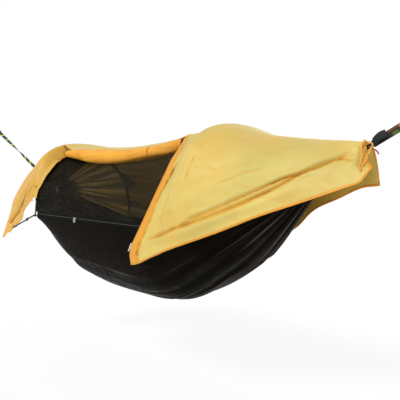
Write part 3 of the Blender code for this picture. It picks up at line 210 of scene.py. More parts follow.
def ripstop(name, cloth, fold, trim, through_share, sheen):
    """Coated ripstop: cloth with a fine raised grid and trim along marked edges; the fold mark paints shade
    into its folds, and a glow of light into the left flap.
    """
    f = Finish(name, 0.46)
    across, along, _ = f.split(f.place("UV"))
    pitch, cord = 0.0065, 0.0008
    grid = f.math("MAXIMUM", f.lines(across, pitch, cord), f.lines(along, pitch, cord))
    weave = f.math("MULTIPLY", f.waves(across, 0.0009), f.waves(along, 0.0009))
    cloudy = f.noise(3.2, 4.0, 0.55)
    streaks = f.noise(1.0, 3.0, 0.6, f.stretched((5.0, 34.0, 1.0)))
    colour = f.mix(f.span(cloudy, 0.35, 0.70, 0.0, 0.30), cloth, fold)
    dull = (0.74 * cloth[0], 0.80 * cloth[1], 0.80 * cloth[2])
    colour = f.mix(f.span(f.noise(2.6, 2.0, 0.5), 0.50, 0.70, 0.0, 0.45), colour, dull)
    colour = f.mix(f.span(streaks, 0.52, 0.80, 0.0, 0.35), colour, fold)
    # Painted shade in creases, puckers and crinkles, and a painted glow in the left flap, all from the fold
    # mark
    colour = f.mix(f.span(f.mark("fold"), 0.0, 1.0, 0.0, 0.95), colour, fold)
    colour = f.mix(f.math("MULTIPLY", grid, 0.10), colour, fold)
    edge = f.mark("hem")
    placket = f.mark("placket")
    band = f.math("MAXIMUM", f.math("LESS_THAN", edge, 0.0095), f.math("LESS_THAN", placket, 1.0))
    seam_wear = f.span(f.noise(60.0, 3.0), 0.35, 0.75, 0.0, 0.55)
    colour = f.mix(band, colour, f.mix(seam_wear, trim, fold))
    # Deeper painted shade in the cores of the creases
    colour = f.mix(f.span(f.mark("fold"), 0.74, 1.0, 0.0, 0.65), colour, CREASE_SHADE)
    stitch_line = f.math("MAXIMUM", f.math("COMPARE", edge, 0.0080, 0.0006),
                         f.math("COMPARE", placket, 0.94, 0.02))
    run = f.math("MULTIPLY", f.math("ADD", across, along), 1900.0)
    dashes = f.math("GREATER_THAN", f.math("SINE", run), -0.35)
    stitches = f.math("MULTIPLY", stitch_line, dashes)
    colour = f.mix(f.math("MULTIPLY", stitches, 0.75), colour, tuple(0.35 * c for c in trim))
    height = f.math("ADD", f.math("MULTIPLY", grid, 0.6), f.math("MULTIPLY", weave, 0.25))
    height = f.math("ADD", height, f.math("MULTIPLY", band, 1.2))
    height = f.math("SUBTRACT", height, f.math("MULTIPLY", stitches, 0.8))
    fine = f.bump(height, 0.00035, 0.6)
    crumple = f.noise(38.0, 4.0, 0.62)
    normal = f.bump(crumple, 0.0035, 0.55, fine)
    f.set(Base_Color=colour, Roughness=f.span(crumple, 0.3, 0.7, 0.40, 0.56), Sheen_Weight=sheen,
          Sheen_Roughness=0.4)
    # Light falls through the cloth
    f.mix_with(through_share, f.node("ShaderNodeBsdfTranslucent", None, {"Color": colour, "Normal": normal}))
    return f.material


def nylon(name, colour, sheen_tint, roughness=0.46):
    """Thin dark taffeta with a fine weave, and painted sheen: warm in long streaks, in patches and on the
    bed's lit pleat crests.
    """
    f = Finish(name, roughness)
    across, along, _ = f.split(f.place("UV"))
    weave = f.math("MULTIPLY", f.waves(across, 0.0007), f.waves(along, 0.0007))
    # Painted sheen: warm patches and long streaks stand in for highlights
    sheen_patches = f.span(f.noise(2.1, 3.0, 0.5), 0.46, 0.72)
    shade = f.mix(f.math("MULTIPLY", sheen_patches, 0.8), colour, sheen_tint)
    streaks = f.noise(1.0, 3.0, 0.6, f.stretched((2.5, 42.0, 1.0)))
    shade = f.mix(f.span(streaks, 0.50, 0.80, 0.0, 0.45), shade, sheen_tint)
    # Painted highlight on the lit crests of the bed's pleats
    shade = f.mix(f.mark("crest_highlight"), shade, LIT_CREST)
    fine = f.bump(weave, 0.00012, 0.35)
    crumple = f.noise(26.0, 4.0, 0.6)
    f.bump(crumple, 0.0030, 0.40, fine)
    f.set(Base_Color=shade, Roughness=f.span(crumple, 0.3, 0.7, roughness - 0.08, roughness + 0.10),
          Specular_IOR_Level=0.008)
    return f.material


def netting(name, thread, cover):
    """Fine hexagonal netting: each wall of the sheet lets part of the light pass between its threads. Past
    the poles it turns solid, with painted shade for the dim inside and a painted glow of the lit fly behind.
    """
    f = Finish(name, 0.7)
    across, along, _ = f.split(f.place("UV"))
    pitch = 0.0016
    rows = f.waves(along, pitch)
    shifted = f.math("ADD", across, f.math("MULTIPLY", rows, pitch / 2))
    holes = f.math("MULTIPLY", f.waves(shifted, pitch), rows)
    open_share = f.span(holes, 0.10, 0.60, cover + 0.10, cover - 0.08)
    # Denser where the net bunches towards its ends, and solid past the poles, a dark sheet of painted shade
    # there
    gather = f.span(f.mark("gather"), 0.0, 1.6, 0.0, 0.66, smooth=False)
    seam = f.math("LESS_THAN", f.mark("seam"), 0.0065)
    covered = f.math("ADD", open_share, gather, clamp=True)
    covered = f.math("MAXIMUM", covered, f.math("MULTIPLY", seam, 0.92))
    covered = f.math("MAXIMUM", covered, f.mark("patch"))
    tone = f.mix(f.span(f.noise(30.0, 3.0), 0.3, 0.7), thread, tuple(1.7 * c for c in thread))
    # Painted glow: the lit fly behind tints the solid end of the net
    tone = f.mix(f.mark("fly_glow"), tone, LIT_NET)
    f.bump(holes, 0.0002, 0.4)
    f.set(Base_Color=tone, Alpha=covered, Specular_IOR_Level=0.05)
    return f.material


def webbing(name, base, light, ticks=(), shine=0.25):
    """Flat woven tape: a herringbone of threads, with cross ticks at places along it, in metres."""
    f = Finish(name, 0.62)
    across, along, _ = f.split(f.place("UV"))
    lean = f.math("PINGPONG", across, 0.0025)
    ribs = f.waves(f.math("ADD", along, lean), 0.0016)
    threads = f.math("MULTIPLY", ribs, f.waves(across, 0.0011))
    colour = f.mix(f.span(threads, 0.1, 0.9), base, light)
    colour = f.mix(f.span(f.noise(140.0, 3.0), 0.45, 0.8, 0.0, 0.6), colour, light)
    for place, length, tick, low, high in ticks:
        here = f.math("COMPARE", along, place, length / 2)
        aside = f.math("COMPARE", across, STRAP_W / 4 * (low + high), STRAP_W / 4 * (high - low) + 0.0001)
        colour = f.mix(f.math("MULTIPLY", f.math("MULTIPLY", here, aside), 0.9), colour, tick)
    f.bump(threads, 0.0004, 0.8)
    f.set(Base_Color=colour, Roughness=f.span(threads, 0.0, 1.0, 0.72, 0.52), Specular_IOR_Level=shine)
    return f.material


def braid(name, base, light, pitch=0.004):
    """Braided cord: two sets of strands that cross round it."""
    f = Finish(name, 0.6)
    around, along, _ = f.split(f.place("UV"))
    turn = f.math("MULTIPLY", around, 6.0)
    run = f.math("DIVIDE", along, pitch)
    one = f.math("SINE", f.math("MULTIPLY", f.math("ADD", run, turn), 2 * math.pi))
    two = f.math("SINE", f.math("MULTIPLY", f.math("SUBTRACT", run, turn), 2 * math.pi))
    strands = f.math("MAXIMUM", one, two)
    colour = f.mix(f.span(strands, -0.2, 1.0), base, light)
    f.bump(strands, 0.0004, 0.8)
    f.set(Base_Color=colour, Roughness=f.span(strands, -1.0, 1.0, 0.75, 0.5))
    return f.material


def metal(name, colour, roughness):
    """Bare metal with fine drawn lines and handled patches."""
    f = Finish(name, roughness, 1.0)
    drawn = f.noise(1.0, 3.0, 0.7, f.stretched((400.0, 12.0, 12.0), "Object"))
    worn = f.span(f.noise(55.0, 4.0), 0.45, 0.75)
    f.set(Base_Color=f.mix(f.math("MULTIPLY", worn, 0.45), colour, tuple(0.62 * c for c in colour)),
          Roughness=f.span(drawn, 0.3, 0.7, roughness - 0.08, roughness + 0.14))
    f.bump(drawn, 0.00006, 0.5)
    return f.material


def moulded(name, colour, roughness):
    """Moulded plastic with a fine grain and faint scuffs."""
    f = Finish(name, roughness)
    grain = f.noise(900.0, 2.0)
    scuffs = f.span(f.noise(90.0, 5.0, 0.7), 0.55, 0.75)
    scuffed = tuple(min(1.0, 0.7 * c + 0.02) for c in colour)
    f.set(Base_Color=f.mix(f.math("MULTIPLY", scuffs, 0.25), colour, scuffed),
          Roughness=f.span(scuffs, 0.0, 1.0, roughness, roughness + 0.15))
    f.bump(grain, 0.00008, 0.4)
    return f.material


def glass_fibre(name):
    """Pultruded rod: long fibres in a dark resin."""
    f = Finish(name, 0.34)
    fibres = f.noise(1.0, 3.0, 0.7, f.stretched((900.0, 40.0, 40.0), "Object"))
    f.set(Base_Color=f.mix(f.span(fibres, 0.4, 0.7), (0.020, 0.020, 0.022), (0.050, 0.050, 0.053)),
          Roughness=f.span(fibres, 0.3, 0.7, 0.28, 0.44), Coat_Weight=0.3)
    f.bump(fibres, 0.00005, 0.4)
    return f.material


YELLOW = (0.785, 0.640, 0.180)
# The ochre, crease and deep orange colours are painted shade for folds and creases; the ochre also paints
# light glowing through the left flap
OCHRE = (0.79, 0.400, 0.017)
CREASE_SHADE = (0.42, 0.165, 0.012)
ORANGE = (0.86, 0.400, 0.030)
DEEP_ORANGE = (0.74, 0.200, 0.015)
ROLL_ORANGE = (0.95, 0.485, 0.030)
LIME = (0.42, 0.62, 0.035)
# The bed's pleats where they catch the light, and the net where the fly shines through it
LIT_CREST = (0.200, 0.172, 0.132)
LIT_NET = (0.064, 0.043, 0.013)

RIPSTOP = ripstop("yellow_ripstop", YELLOW, OCHRE, ORANGE, 0.30, 0.05)
ROLL_CLOTH = ripstop("orange_ripstop", ROLL_ORANGE, DEEP_ORANGE, ORANGE, 0.25, 0.05)
NYLON = nylon("black_nylon", (0.0042, 0.0034, 0.0020), (0.0130, 0.0085, 0.0055), 0.40)
SLEEVE = nylon("sleeve_nylon", (0.010, 0.010, 0.010), (0.020, 0.018, 0.017), 0.5)
NETTING = netting("black_netting", (0.012, 0.011, 0.0075), 0.29)
CORD = braid("black_cord", (0.012, 0.012, 0.012), (0.040, 0.040, 0.038))
ORANGE_CORD = braid("orange_cord", (0.60, 0.21, 0.015), (0.86, 0.46, 0.060))
WHITE_CORD = braid("white_cord", (0.55, 0.55, 0.53), (0.80, 0.80, 0.78), 0.002)
RED_CORD = braid("red_cord", (0.20, 0.020, 0.008), (0.36, 0.050, 0.016))
TAPE = webbing("black_tape", (0.012, 0.012, 0.013), (0.035, 0.036, 0.037))
ZIP_CLOTH = webbing("zip_tape", (0.0035, 0.0035, 0.0033), (0.0085, 0.0085, 0.0078), shine=0.03)
ORANGE_TAPE = webbing("orange_tape", (0.66, 0.23, 0.025), (0.90, 0.40, 0.075))
ALUMINIUM = metal("bare_aluminium", (0.62, 0.63, 0.65), 0.30)
STEEL = metal("grey_steel", (0.42, 0.42, 0.43), 0.34)
WHITE = moulded("white_pull", (0.86, 0.86, 0.84), 0.45)
PLASTIC = moulded("black_plastic", (0.022, 0.022, 0.024), 0.42)
COIL = moulded("zip_coil", (0.040, 0.040, 0.040), 0.40)
ORANGE_COIL = moulded("orange_zip_coil", (0.55, 0.20, 0.04), 0.38)
FIBRE = glass_fibre("pole_glass_fibre")


# Mesh makers

def piece(name, points, faces, finish, slot=None, uv=None, marks=None, body="tent", instead_of=()):
    """A named mesh that rides on a body and stands for CAD nodes. uv and marks hold one row per point."""
    mesh = bpy.data.meshes.new(name)
    mesh.from_pydata([tuple(p) for p in points], [], [tuple(f) for f in faces])
    mesh.update()
    mesh.polygons.foreach_set("use_smooth", [True] * len(mesh.polygons))
    if uv is not None:
        layer = mesh.uv_layers.new(name="UVMap")
        corner = np.zeros(len(mesh.loops), int)
        mesh.loops.foreach_get("vertex_index", corner)
        layer.data.foreach_set("uv", np.asarray(uv, float)[corner].ravel())
    for key, values in (marks or {}).items():
        attribute = mesh.attributes.new(key, "FLOAT", "POINT")
        attribute.data.foreach_set("value", np.broadcast_to(np.ravel(values), len(points)).astype(float))
    obj = bpy.data.objects.new(name, mesh)
    bpy.context.scene.collection.objects.link(obj)
    obj.data.materials.append(finish)
    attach(obj, body)
    if instead_of:
        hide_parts(*instead_of)
    return obj


def shell(name, grid, thickness, finish, keep=None, uv=None, marks=None, **more):
    """A closed thin sheet from a grid of points (columns, rows); its outer side faces columns x rows."""
    n, m = grid.shape[:2]
    normal = unit(np.cross(np.gradient(grid, axis=0), np.gradient(grid, axis=1)))
    both = np.concatenate([(grid + normal * thickness / 2).reshape(-1, 3),
                           (grid - normal * thickness / 2).reshape(-1, 3)])
    keep = np.ones((n - 1, m - 1), bool) if keep is None else keep
    index = np.arange(n * m).reshape(n, m)
    a, b = index[:-1, :-1][keep], index[1:, :-1][keep]
    c, d = index[1:, 1:][keep], index[:-1, 1:][keep]
    size = n * m
    faces = [np.stack([a, b, c, d], 1), np.stack([d, c, b, a], 1) + size]
    padded = np.zeros((n + 1, m + 1), bool)
    padded[1:-1, 1:-1] = keep
    sides = (
        (padded[1:-1, :-2], index[:-1, :-1], index[1:, :-1]),
        (padded[2:, 1:-1], index[1:, :-1], index[1:, 1:]),
        (padded[1:-1, 2:], index[1:, 1:], index[:-1, 1:]),
        (padded[:-2, 1:-1], index[:-1, 1:], index[:-1, :-1]),
    )
    for neighbour, first, second in sides:
        rim = keep & ~neighbour
        p, q = first[rim], second[rim]
        faces.append(np.stack([q, p, p + size, q + size], 1))
    faces = np.concatenate(faces)
    used = np.unique(faces)
    renumber = np.zeros(2 * size, int)
    renumber[used] = np.arange(len(used))
    pick = used % size
    uv = None if uv is None else uv.reshape(-1, 2)[pick]
    marks = {key: np.broadcast_to(value, (n, m)).ravel()[pick] for key, value in (marks or {}).items()}
    return piece(name, both[used], renumber[faces], finish, uv=uv, marks=marks, **more)


def tangents(path, closed):
    if closed:
        return unit(np.roll(path, -1, 0) - np.roll(path, 1, 0))
    return unit(np.gradient(path, axis=0))


def frames_along(path, hint, closed=False):
    """Tangents and two cross directions along a path, turned as little as possible."""
    path = np.asarray(path, float)
    tangent = tangents(path, closed)
    first = np.zeros_like(path)
    first[0] = unit(hint - tangent[0] * np.dot(hint, tangent[0]))
    for k in range(1, len(path)):
        carried = first[k - 1]
        first[k] = unit(carried - tangent[k] * np.dot(carried, tangent[k]))
    return tangent, first, np.cross(tangent, first)


def run_lengths(path):
    """How far each point of a path lies along it."""
    return np.concatenate([[0.0], np.cumsum(np.linalg.norm(np.diff(path, axis=0), axis=1))])


def grid_lengths(grid, axis):
    """How far each point of a grid lies along its column (axis 1) or its row (axis 0)."""
    steps = np.linalg.norm(np.diff(grid, axis=axis), axis=2)
    return np.concatenate([np.zeros_like(steps.take([0], axis)), np.cumsum(steps, axis)], axis)


def centred_uv(grid):
    """Place along the tent, and length from the middle of each column."""
    lengths = grid_lengths(grid, 1)
    return np.stack([grid[..., 0], lengths - lengths[:, -1:] / 2], -1)


def at_length(path, lengths, place):
    return np.array([np.interp(place, lengths, path[:, c]) for c in range(3)])


def evenly(path, count):
    """The same path in steps of equal length."""
    lengths = run_lengths(path)
    return np.array([at_length(path, lengths, lengths[-1] * k / count) for k in range(count + 1)])


def smooth_path(points, count):
    """An even smooth curve through a few points."""
    points = [np.asarray(p, float) for p in points]
    rough = run_lengths(np.array(points))
    table = list(zip(rough, points))
    fine = np.array([through(table, rough[-1] * k / (count * 4)) for k in range(count * 4 + 1)])
    return evenly(fine, count)


def ring_faces(rings, sides, closed=False, capped=True, start=0):
    """The faces of a tube whose points are stored ring by ring."""
    faces = []
    last = rings if closed else rings - 1
    for i in range(last):
        a, b = start + i * sides, start + ((i + 1) % rings) * sides
        for k in range(sides):
            f = (k + 1) % sides
            faces.append((a + k, a + f, b + f, b + k))
    if capped and not closed:
        faces.append(tuple(start + sides - 1 - k for k in range(sides)))
        end = start + (rings - 1) * sides
        faces.append(tuple(end + k for k in range(sides)))
    return faces


def ring_ways(first, second, sides, squash=1.0):
    """Directions round a path, a ring of them for each of its points."""
    angles = 2 * np.pi * np.arange(sides) / sides
    cosine, sine = np.cos(angles)[None, :, None], np.sin(angles)[None, :, None]
    return cosine * first[:, None] + squash * sine * second[:, None]


def sweep(path, radius, hint, sides=12, closed=False, squash=1.0):
    """Points, faces and uv of a cord with rounded ends. A squash below 1 makes it flatter."""
    path = np.asarray(path, float)
    tangent, first, second = frames_along(path, np.asarray(hint, float), closed)
    sizes = np.full(len(path), float(radius))
    if not closed:
        caps = ((0.92, 0.38), (0.70, 0.71), (0.38, 0.92))
        start = [(path[0] - tangent[0] * sizes[0] * out, sizes[0] * wide) for wide, out in reversed(caps)]
        stop = [(path[-1] + tangent[-1] * sizes[-1] * out, sizes[-1] * wide) for wide, out in caps]
        path = np.concatenate([[p for p, _ in start], path, [p for p, _ in stop]])
        sizes = np.concatenate([[s for _, s in start], sizes, [s for _, s in stop]])
        first = np.concatenate([[first[0]] * 3, first, [first[-1]] * 3])
        second = np.concatenate([[second[0]] * 3, second, [second[-1]] * 3])
    points = path[:, None] + ring_ways(first, second, sides, squash) * sizes[:, None, None]
    lengths = run_lengths(path)
    uv = np.stack(np.broadcast_arrays(np.arange(sides)[None] / sides, lengths[:, None]), -1)
    return points.reshape(-1, 3), ring_faces(len(path), sides, closed), uv.reshape(-1, 2)


def cord_piece(name, path, radius, hint, finish, sides=12, closed=False, squash=1.0, **more):
    points, faces, uv = sweep(path, radius, hint, sides, closed, squash=squash)
    return piece(name, points, faces, finish, uv=uv, **more)


# A band's section: places across in half widths, and places through it in thicknesses
TAPE_OUTLINE = (
    (-1.0, -0.25), (-0.94, -0.5), (-0.5, -0.5), (0.0, -0.5), (0.5, -0.5), (0.94, -0.5), (1.0, -0.25),
    (1.0, 0.25), (0.94, 0.5), (0.5, 0.5), (0.0, 0.5), (-0.5, 0.5), (-0.94, 0.5), (-1.0, 0.25),
)


def tape_mesh(path, halves, thickness, closed=False):
    """Points, faces and uv of a woven band. halves holds the half-width vector at each point."""
    path, halves = np.asarray(path, float), np.asarray(halves, float)
    skin = unit(np.cross(tangents(path, closed), halves)) * thickness
    shape = np.array(TAPE_OUTLINE)
    points = path[:, None] + halves[:, None] * shape[None, :, :1] + skin[:, None] * shape[None, :, 1:]
    width = np.linalg.norm(halves, axis=1)
    uv = np.stack(np.broadcast_arrays(width[:, None] * shape[None, :, 0], run_lengths(path)[:, None]), -1)
    return points.reshape(-1, 3), ring_faces(len(path), len(shape), closed), uv.reshape(-1, 2)


def tape_piece(name, path, halves, thickness, finish, closed=False, **more):
    points, faces, uv = tape_mesh(path, halves, thickness, closed)
    return piece(name, points, faces, finish, uv=uv, **more)


def joined(name, parts, finish, **more):
    """One piece from several (points, faces, uv) parts."""
    points, faces, uvs, start = [], [], [], 0
    for part_points, part_faces, part_uv in parts:
        points.append(part_points)
        uvs.append(part_uv)
        faces += [tuple(start + k for k in face) for face in part_faces]
        start += len(part_points)
    return piece(name, np.concatenate(points), faces, finish, uv=np.concatenate(uvs), **more)


# Camera

CAMERA_PLACE = Vector((2.485, -1.676, -0.222))
YAW, PITCH, ROLL_TURN = 0.88, 0.042, 0.022


def add_camera():
    forward = Vector((-math.sin(YAW) * math.cos(PITCH), math.cos(YAW) * math.cos(PITCH), math.sin(PITCH)))
    level = Vector((math.cos(YAW), math.sin(YAW), 0.0))
    upward = level.cross(forward)
    right = level * math.cos(ROLL_TURN) + upward * math.sin(ROLL_TURN)
    up = upward * math.cos(ROLL_TURN) - level * math.sin(ROLL_TURN)
    data = bpy.data.cameras.new("camera")
    data.sensor_width = 36.0
    data.lens = 47.73
    data.clip_end = 60.0
    camera = bpy.data.objects.new("camera", data)
    bpy.context.scene.collection.objects.link(camera)
    camera.matrix_world = Matrix((
        (right.x, up.x, -forward.x, CAMERA_PLACE.x), (right.y, up.y, -forward.y, CAMERA_PLACE.y),
        (right.z, up.z, -forward.z, CAMERA_PLACE.z), (0, 0, 0, 1),
    ))
    bpy.context.scene.camera = camera


add_camera()


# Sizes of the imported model

BED_LEFT, BED_RIGHT = 1.20, 1.26
FLY_LEFT, FLY_RIGHT = 1.60, 1.392
GATHER, NECK = 0.021, 0.038
POLE_X, POLE_WIDE, POLE_FOOT, POLE_TOP, SQUARE = 0.744, 0.346, 0.190, 0.213, 0.823
SLEEVE_BORE, SLEEVE_WALL, GAP = 0.0060, 0.0012, 0.0003
STANDOFF = SLEEVE_BORE + SLEEVE_WALL + 2 * GAP
RIM_WIDE = POLE_WIDE - STANDOFF
NECK_LEFT, NECK_RIGHT = NECK - BED_LEFT, BED_RIGHT - NECK
RIM_WIDTHS = ((NECK_LEFT, GATHER), (-POLE_X, RIM_WIDE), (POLE_X, RIM_WIDE), (NECK_RIGHT, GATHER))
LOW_X, LOW_RIM = 0.420, -0.246
RIM_HEIGHTS = (
    (NECK_LEFT, 0.0), (-POLE_X, -POLE_FOOT), (LOW_X, LOW_RIM), (POLE_X, -POLE_FOOT), (NECK_RIGHT, 0.0),
)
# How deep the bed hangs below the line between its gathers, at shares of its run
BELLY = (
    (0.0, GATHER), (0.075, 0.1159), (0.175, 0.2623), (0.250, 0.4514), (0.320, 0.56425), (0.488, 0.610),
    (0.655, 0.60085), (0.802, 0.427), (0.910, 0.22265), (1.0, GATHER),
)
ZIP_TAPE, ZIP_GAP, ZIP_THICK, ZIP_MARGIN = 0.011, 0.0022, 0.0014, 0.030
ZIP_HALF = ZIP_TAPE + ZIP_GAP / 2 + GAP
RISE = math.radians(23.95)
ROPE_R, ROPE_INSET, ROPE_MOUTH = 0.0030, 0.012, 0.0160
CARABINER_R, INNER_BAR, OUTER_BAR = 0.0040, 0.048, 0.120
STRAP_W, STRAP_T = 0.030, 0.0020
ACROSS = vec(0.0, 1.0, 0.0)


def rim(x):
    """The point of the bed's near rim at x."""
    return vec(x, -straight(RIM_WIDTHS, x), straight(RIM_HEIGHTS, x))


def zip_opening(x):
    """How far bed and net each stand back from the rim, to leave room for the zip."""
    past = max(0.0, abs(x) - POLE_X)
    return max(GAP / 2, ZIP_HALF * (1 - past / ZIP_MARGIN))


def pole_point(side, share, grow=0.0):
    """A point at a share of the pole's arch, from its near foot, on an arch grown outwards by grow."""
    angle = math.pi * share
    cosine, sine = math.cos(angle), abs(math.sin(angle))
    return vec(side * POLE_X, -(POLE_WIDE + grow) * math.copysign(abs(cosine) ** SQUARE, cosine),
               -POLE_FOOT + (POLE_TOP + POLE_FOOT + grow) * sine**SQUARE)


def pole_path(side, count):
    fine_steps = 480
    return evenly(np.array([pole_point(side, k / fine_steps) for k in range(fine_steps + 1)]), count)


def end_axes(side):
    """Where one end of the bed is gathered, the way its strap runs, and the way up across the strap."""
    gather = vec(side * (BED_LEFT if side < 0 else BED_RIGHT), 0.0, 0.0)
    along = vec(side * math.cos(RISE), 0.0, math.sin(RISE))
    up = vec(-side * math.sin(RISE), 0.0, math.cos(RISE))
    return gather, along, up


# Cords first: straps, ropes and ties

# How the left strap turns on its way to the tree: place along it and share of the whole turn
TWIST = ((0.06, 0.0), (0.45, 0.05), (0.62, 0.13), (0.75, 0.46), (0.92, 0.80), (1.25, 1.0))
# The right strap's folded-back tail: place along it, how far it stands off and how far it has slipped up
TAIL_FOLD = (
    (0.122, 0.004, 0.0060), (0.114, 0.008, 0.0066), (0.100, 0.011, 0.0068),
    (0.088, 0.009, 0.0062), (0.076, 0.006, 0.0040), (0.066, 0.004, 0.0015),
)
# A strap's way round its sewn eye: place past the strap's end, and how far aside as a share
EYE_ROUTE = (
    (0.000, 0.55), (0.020, 0.62), (0.040, 0.80), (0.055, 1.0), (0.064, 0.93), (0.069, 0.55), (0.070, 0.0),
    (0.069, -0.55), (0.064, -0.93), (0.055, -1.0), (0.040, -0.80), (0.020, -0.62), (0.000, -0.55),
    (-0.020, -0.55), (-0.040, -0.55),
)
# The eye's length, half its depth, and how far before it the strap's single run ends
EYE_LENGTH, EYE_HALF, EYE_NECK = 0.070, 0.009, 0.030
# Half the strap's width in the carabiner, where it starts to widen, and where its single run starts
FOLD_HALF, FOLD_WIDENS, RUN_START = 0.0075, 0.050, 0.060


def arc(centre, along, radius, first, last, steps):
    """Points of an arc from one angle to another, in degrees, where 0 is along and 90 is ACROSS."""
    angles = [math.radians(first + (last - first) * k / steps) for k in range(steps + 1)]
    return [centre + along * (radius * math.cos(a)) + ACROSS * (radius * math.sin(a)) for a in angles]


def strap(word, side, length, twist, ticks, tones):
    """Tree webbing: folded back and stitched at the carabiner, and sewn into a large eye at the tree end."""
    gather, along, up = end_axes(side)
    route, halves = [], []

    def at(place):
        return gather + along * (OUTER_BAR + place)

    def half(place):
        if place < FOLD_WIDENS:
            return up * FOLD_HALF
        turned = twist * float(straight(TWIST, place))
        wide = FOLD_HALF + (STRAP_W / 2 - FOLD_HALF) * float(ease((place - FOLD_WIDENS) / 0.012))
        return (up * math.cos(turned) + ACROSS * math.sin(turned)) * wide

    def add_layer(places, way):
        for place in places:
            drop = (1.05 if place > 0.035 else 1.6) * STRAP_T / 2
            route.append(at(place) + ACROSS * (way * drop))
            halves.append(half(place))

    add_layer((0.082, 0.075, RUN_START, FOLD_WIDENS, 0.042, 0.030), -1)
    bend_steps = 12
    middle_of_bend = len(route) + bend_steps // 2
    route += arc(at(0.0), along, CARABINER_R + GAP + STRAP_T / 2, 280, 80, bend_steps)
    halves += [up * FOLD_HALF] * (bend_steps + 1)
    add_layer((0.030, 0.042, FOLD_WIDENS, RUN_START), 1)
    run_points = 90 if twist else 14
    facing = 1 - 2 * (np.dot(np.cross(along, up), ACROSS) < 0)
    for k in range(1, run_points + 1):
        place = RUN_START + (length - EYE_NECK - RUN_START) * k / run_points
        side_step = half(place)
        skin = unit(np.cross(along, side_step)) * (STRAP_T * 0.525 * facing)
        route.append(at(place) + skin * float(ease(1 - (place - RUN_START) / 0.030)))
        halves.append(side_step)
    end_half = halves[-1]
    loop_out = unit(np.cross(along, end_half))
    for place, share in EYE_ROUTE:
        size = EYE_HALF if abs(share) > 0.56 or place > 0.06 else STRAP_T
        route.append(at(length + place) + loop_out * (share * size))
        halves.append(end_half)
    start_of_run = run_lengths(np.array(route))[middle_of_bend]
    placed = [(start_of_run + place, *rest) for place, *rest in ticks]
    finish = webbing(f"{word}_strap_webbing", *tones, placed)
    made = tape_piece(f"{word}_strap", route, halves, STRAP_T * 0.96, finish, slot="black_webbing",
                      instead_of=(f"{word}_tree_strap",))
    tacks = []
    for place in (0.055, 0.072):
        for way in (-1, 1):
            low, high = at(place - 0.004), at(place + 0.004)
            shift = ACROSS * (way * STRAP_T * 1.08)
            tacks.append(tape_mesh([low + shift, high + shift], [half(place) * 0.85] * 2, 0.0007))
    extras = [joined(f"{word}_strap_stitching", tacks, TAPE, slot="black_webbing")]
    if side > 0:
        folds = [at(place) - ACROSS * (0.0032 + slack) + up * lift for place, slack, lift in TAIL_FOLD]
        extras.append(tape_piece(f"{word}_strap_fold", smooth_path(folds, 26), [up * 0.0145] * 27,
                                 STRAP_T * 0.9, finish, slot="black_webbing"))


def suspension_rope(word, side):
    """A rope through the gathered cloth and round the carabiner's inner bar."""
    gather, along, up = end_axes(side)
    bar = gather + along * INNER_BAR
    mouth = gather - along * (ROPE_INSET - ROPE_MOUTH)
    route = arc(mouth, along, ROPE_MOUTH, -176, -96, 8)
    route += arc(bar, along, CARABINER_R + ROPE_R + GAP, -80, 80, 12)
    route += arc(mouth, along, ROPE_MOUTH, 96, 176, 8)
    route = smooth_path(route, 72)
    made = cord_piece(f"{word}_rope", route, ROPE_R, up, CORD, 12, slot="black_cord",
                      instead_of=(f"{word}_suspension_rope",))


def tie_route(centre, along, up, half_height, half_depth):
    """Two square turns round a strap, with a tail that hangs from each end."""
    pitch, tail, steps = 0.0055, 0.055, 24
    shares = ((0.30, 1.00), (0.26, 0.70), (0.20, 0.42), (0.10, 0.18))
    hanging = [(half_depth + tail * out, tail * down) for out, down in shares]
    route = [centre - along * pitch - ACROSS * out - up * down for out, down in hanging]
    for k in range(2 * steps + 1):
        angle = 2 * math.pi * k / steps
        cosine, sine = math.cos(angle), math.sin(angle)
        route.append(centre + along * (pitch * (k / steps - 1))
                     - ACROSS * (half_depth * math.copysign(abs(cosine) ** 0.35, cosine))
                     + up * (half_height * math.copysign(abs(sine) ** 0.35, sine)))
    return route + [centre + along * pitch - ACROSS * out - up * down for out, down in reversed(hanging)]


# The right tie's bow and tails, from its knot
BOW_STRANDS = (
    ((1.423, -0.045, 0.077), (1.412, -0.050, 0.070), (1.411, -0.055, 0.052), (1.416, -0.062, 0.026),
     (1.418, -0.070, 0.001), (1.418, -0.078, -0.024)),
    ((1.436, -0.040, 0.073), (1.446, -0.040, 0.063), (1.441, -0.045, 0.047), (1.434, -0.055, 0.022),
     (1.429, -0.066, 0.000), (1.425, -0.075, -0.018), (1.423, -0.080, -0.030)),
)
BOW_TAIL = (
    (1.424, -0.027, 0.058), (1.436, -0.030, 0.052), (1.449, -0.033, 0.046), (1.460, -0.034, 0.038),
    (1.467, -0.035, 0.029),
)
TIE_R, BOW_R = 0.0019, 0.0032


def fly_tie(word, side, place, width, depth, slack, bow):
    """An orange tie: two turns round the strap, a knot, its two tails and, on the right, a bow."""
    gather, along, up = end_axes(side)
    centre = gather + along * place + up * (slack / 2)
    clear = TIE_R + 2 * GAP
    route = smooth_path(tie_route(centre, along, up, (width + slack) / 2 + clear, depth / 2 + clear), 150)
    made = cord_piece(f"{word}_tie", route, TIE_R, along, ORANGE_CORD, 10, slot="orange_tape",
                      instead_of=(f"{word}_fly_tie",))
    front = centre - ACROSS * (depth / 2 + clear + 0.0030)
    thick = BOW_R if bow else TIE_R
    if bow:
        front = front + along * 0.014 - ACROSS * 0.010 + up * 0.004
    knot = []
    for k in range(40):
        angle = 2 * math.pi * k / 40
        knot.append(front + up * (2.4 * thick * math.sin(2 * angle)) + along * (3.0 * thick * math.cos(angle))
                    - ACROSS * (1.3 * thick * (1 + math.sin(3 * angle))))
    parts = [sweep(knot, thick, ACROSS, 10, closed=True)]
    if bow:
        for strand in BOW_STRANDS:
            parts.append(sweep(smooth_path([front, *strand], 40), thick, ACROSS, 10, squash=0.75))
    with_knot = [joined(f"{word}_tie_knot", parts, ORANGE_CORD, slot="orange_tape")]
    if bow:
        with_knot.append(cord_piece(f"{word}_tie_tail", smooth_path(BOW_TAIL, 24), 0.0026, ACROSS, RED_CORD,
                                    10, slot="orange_tape"))


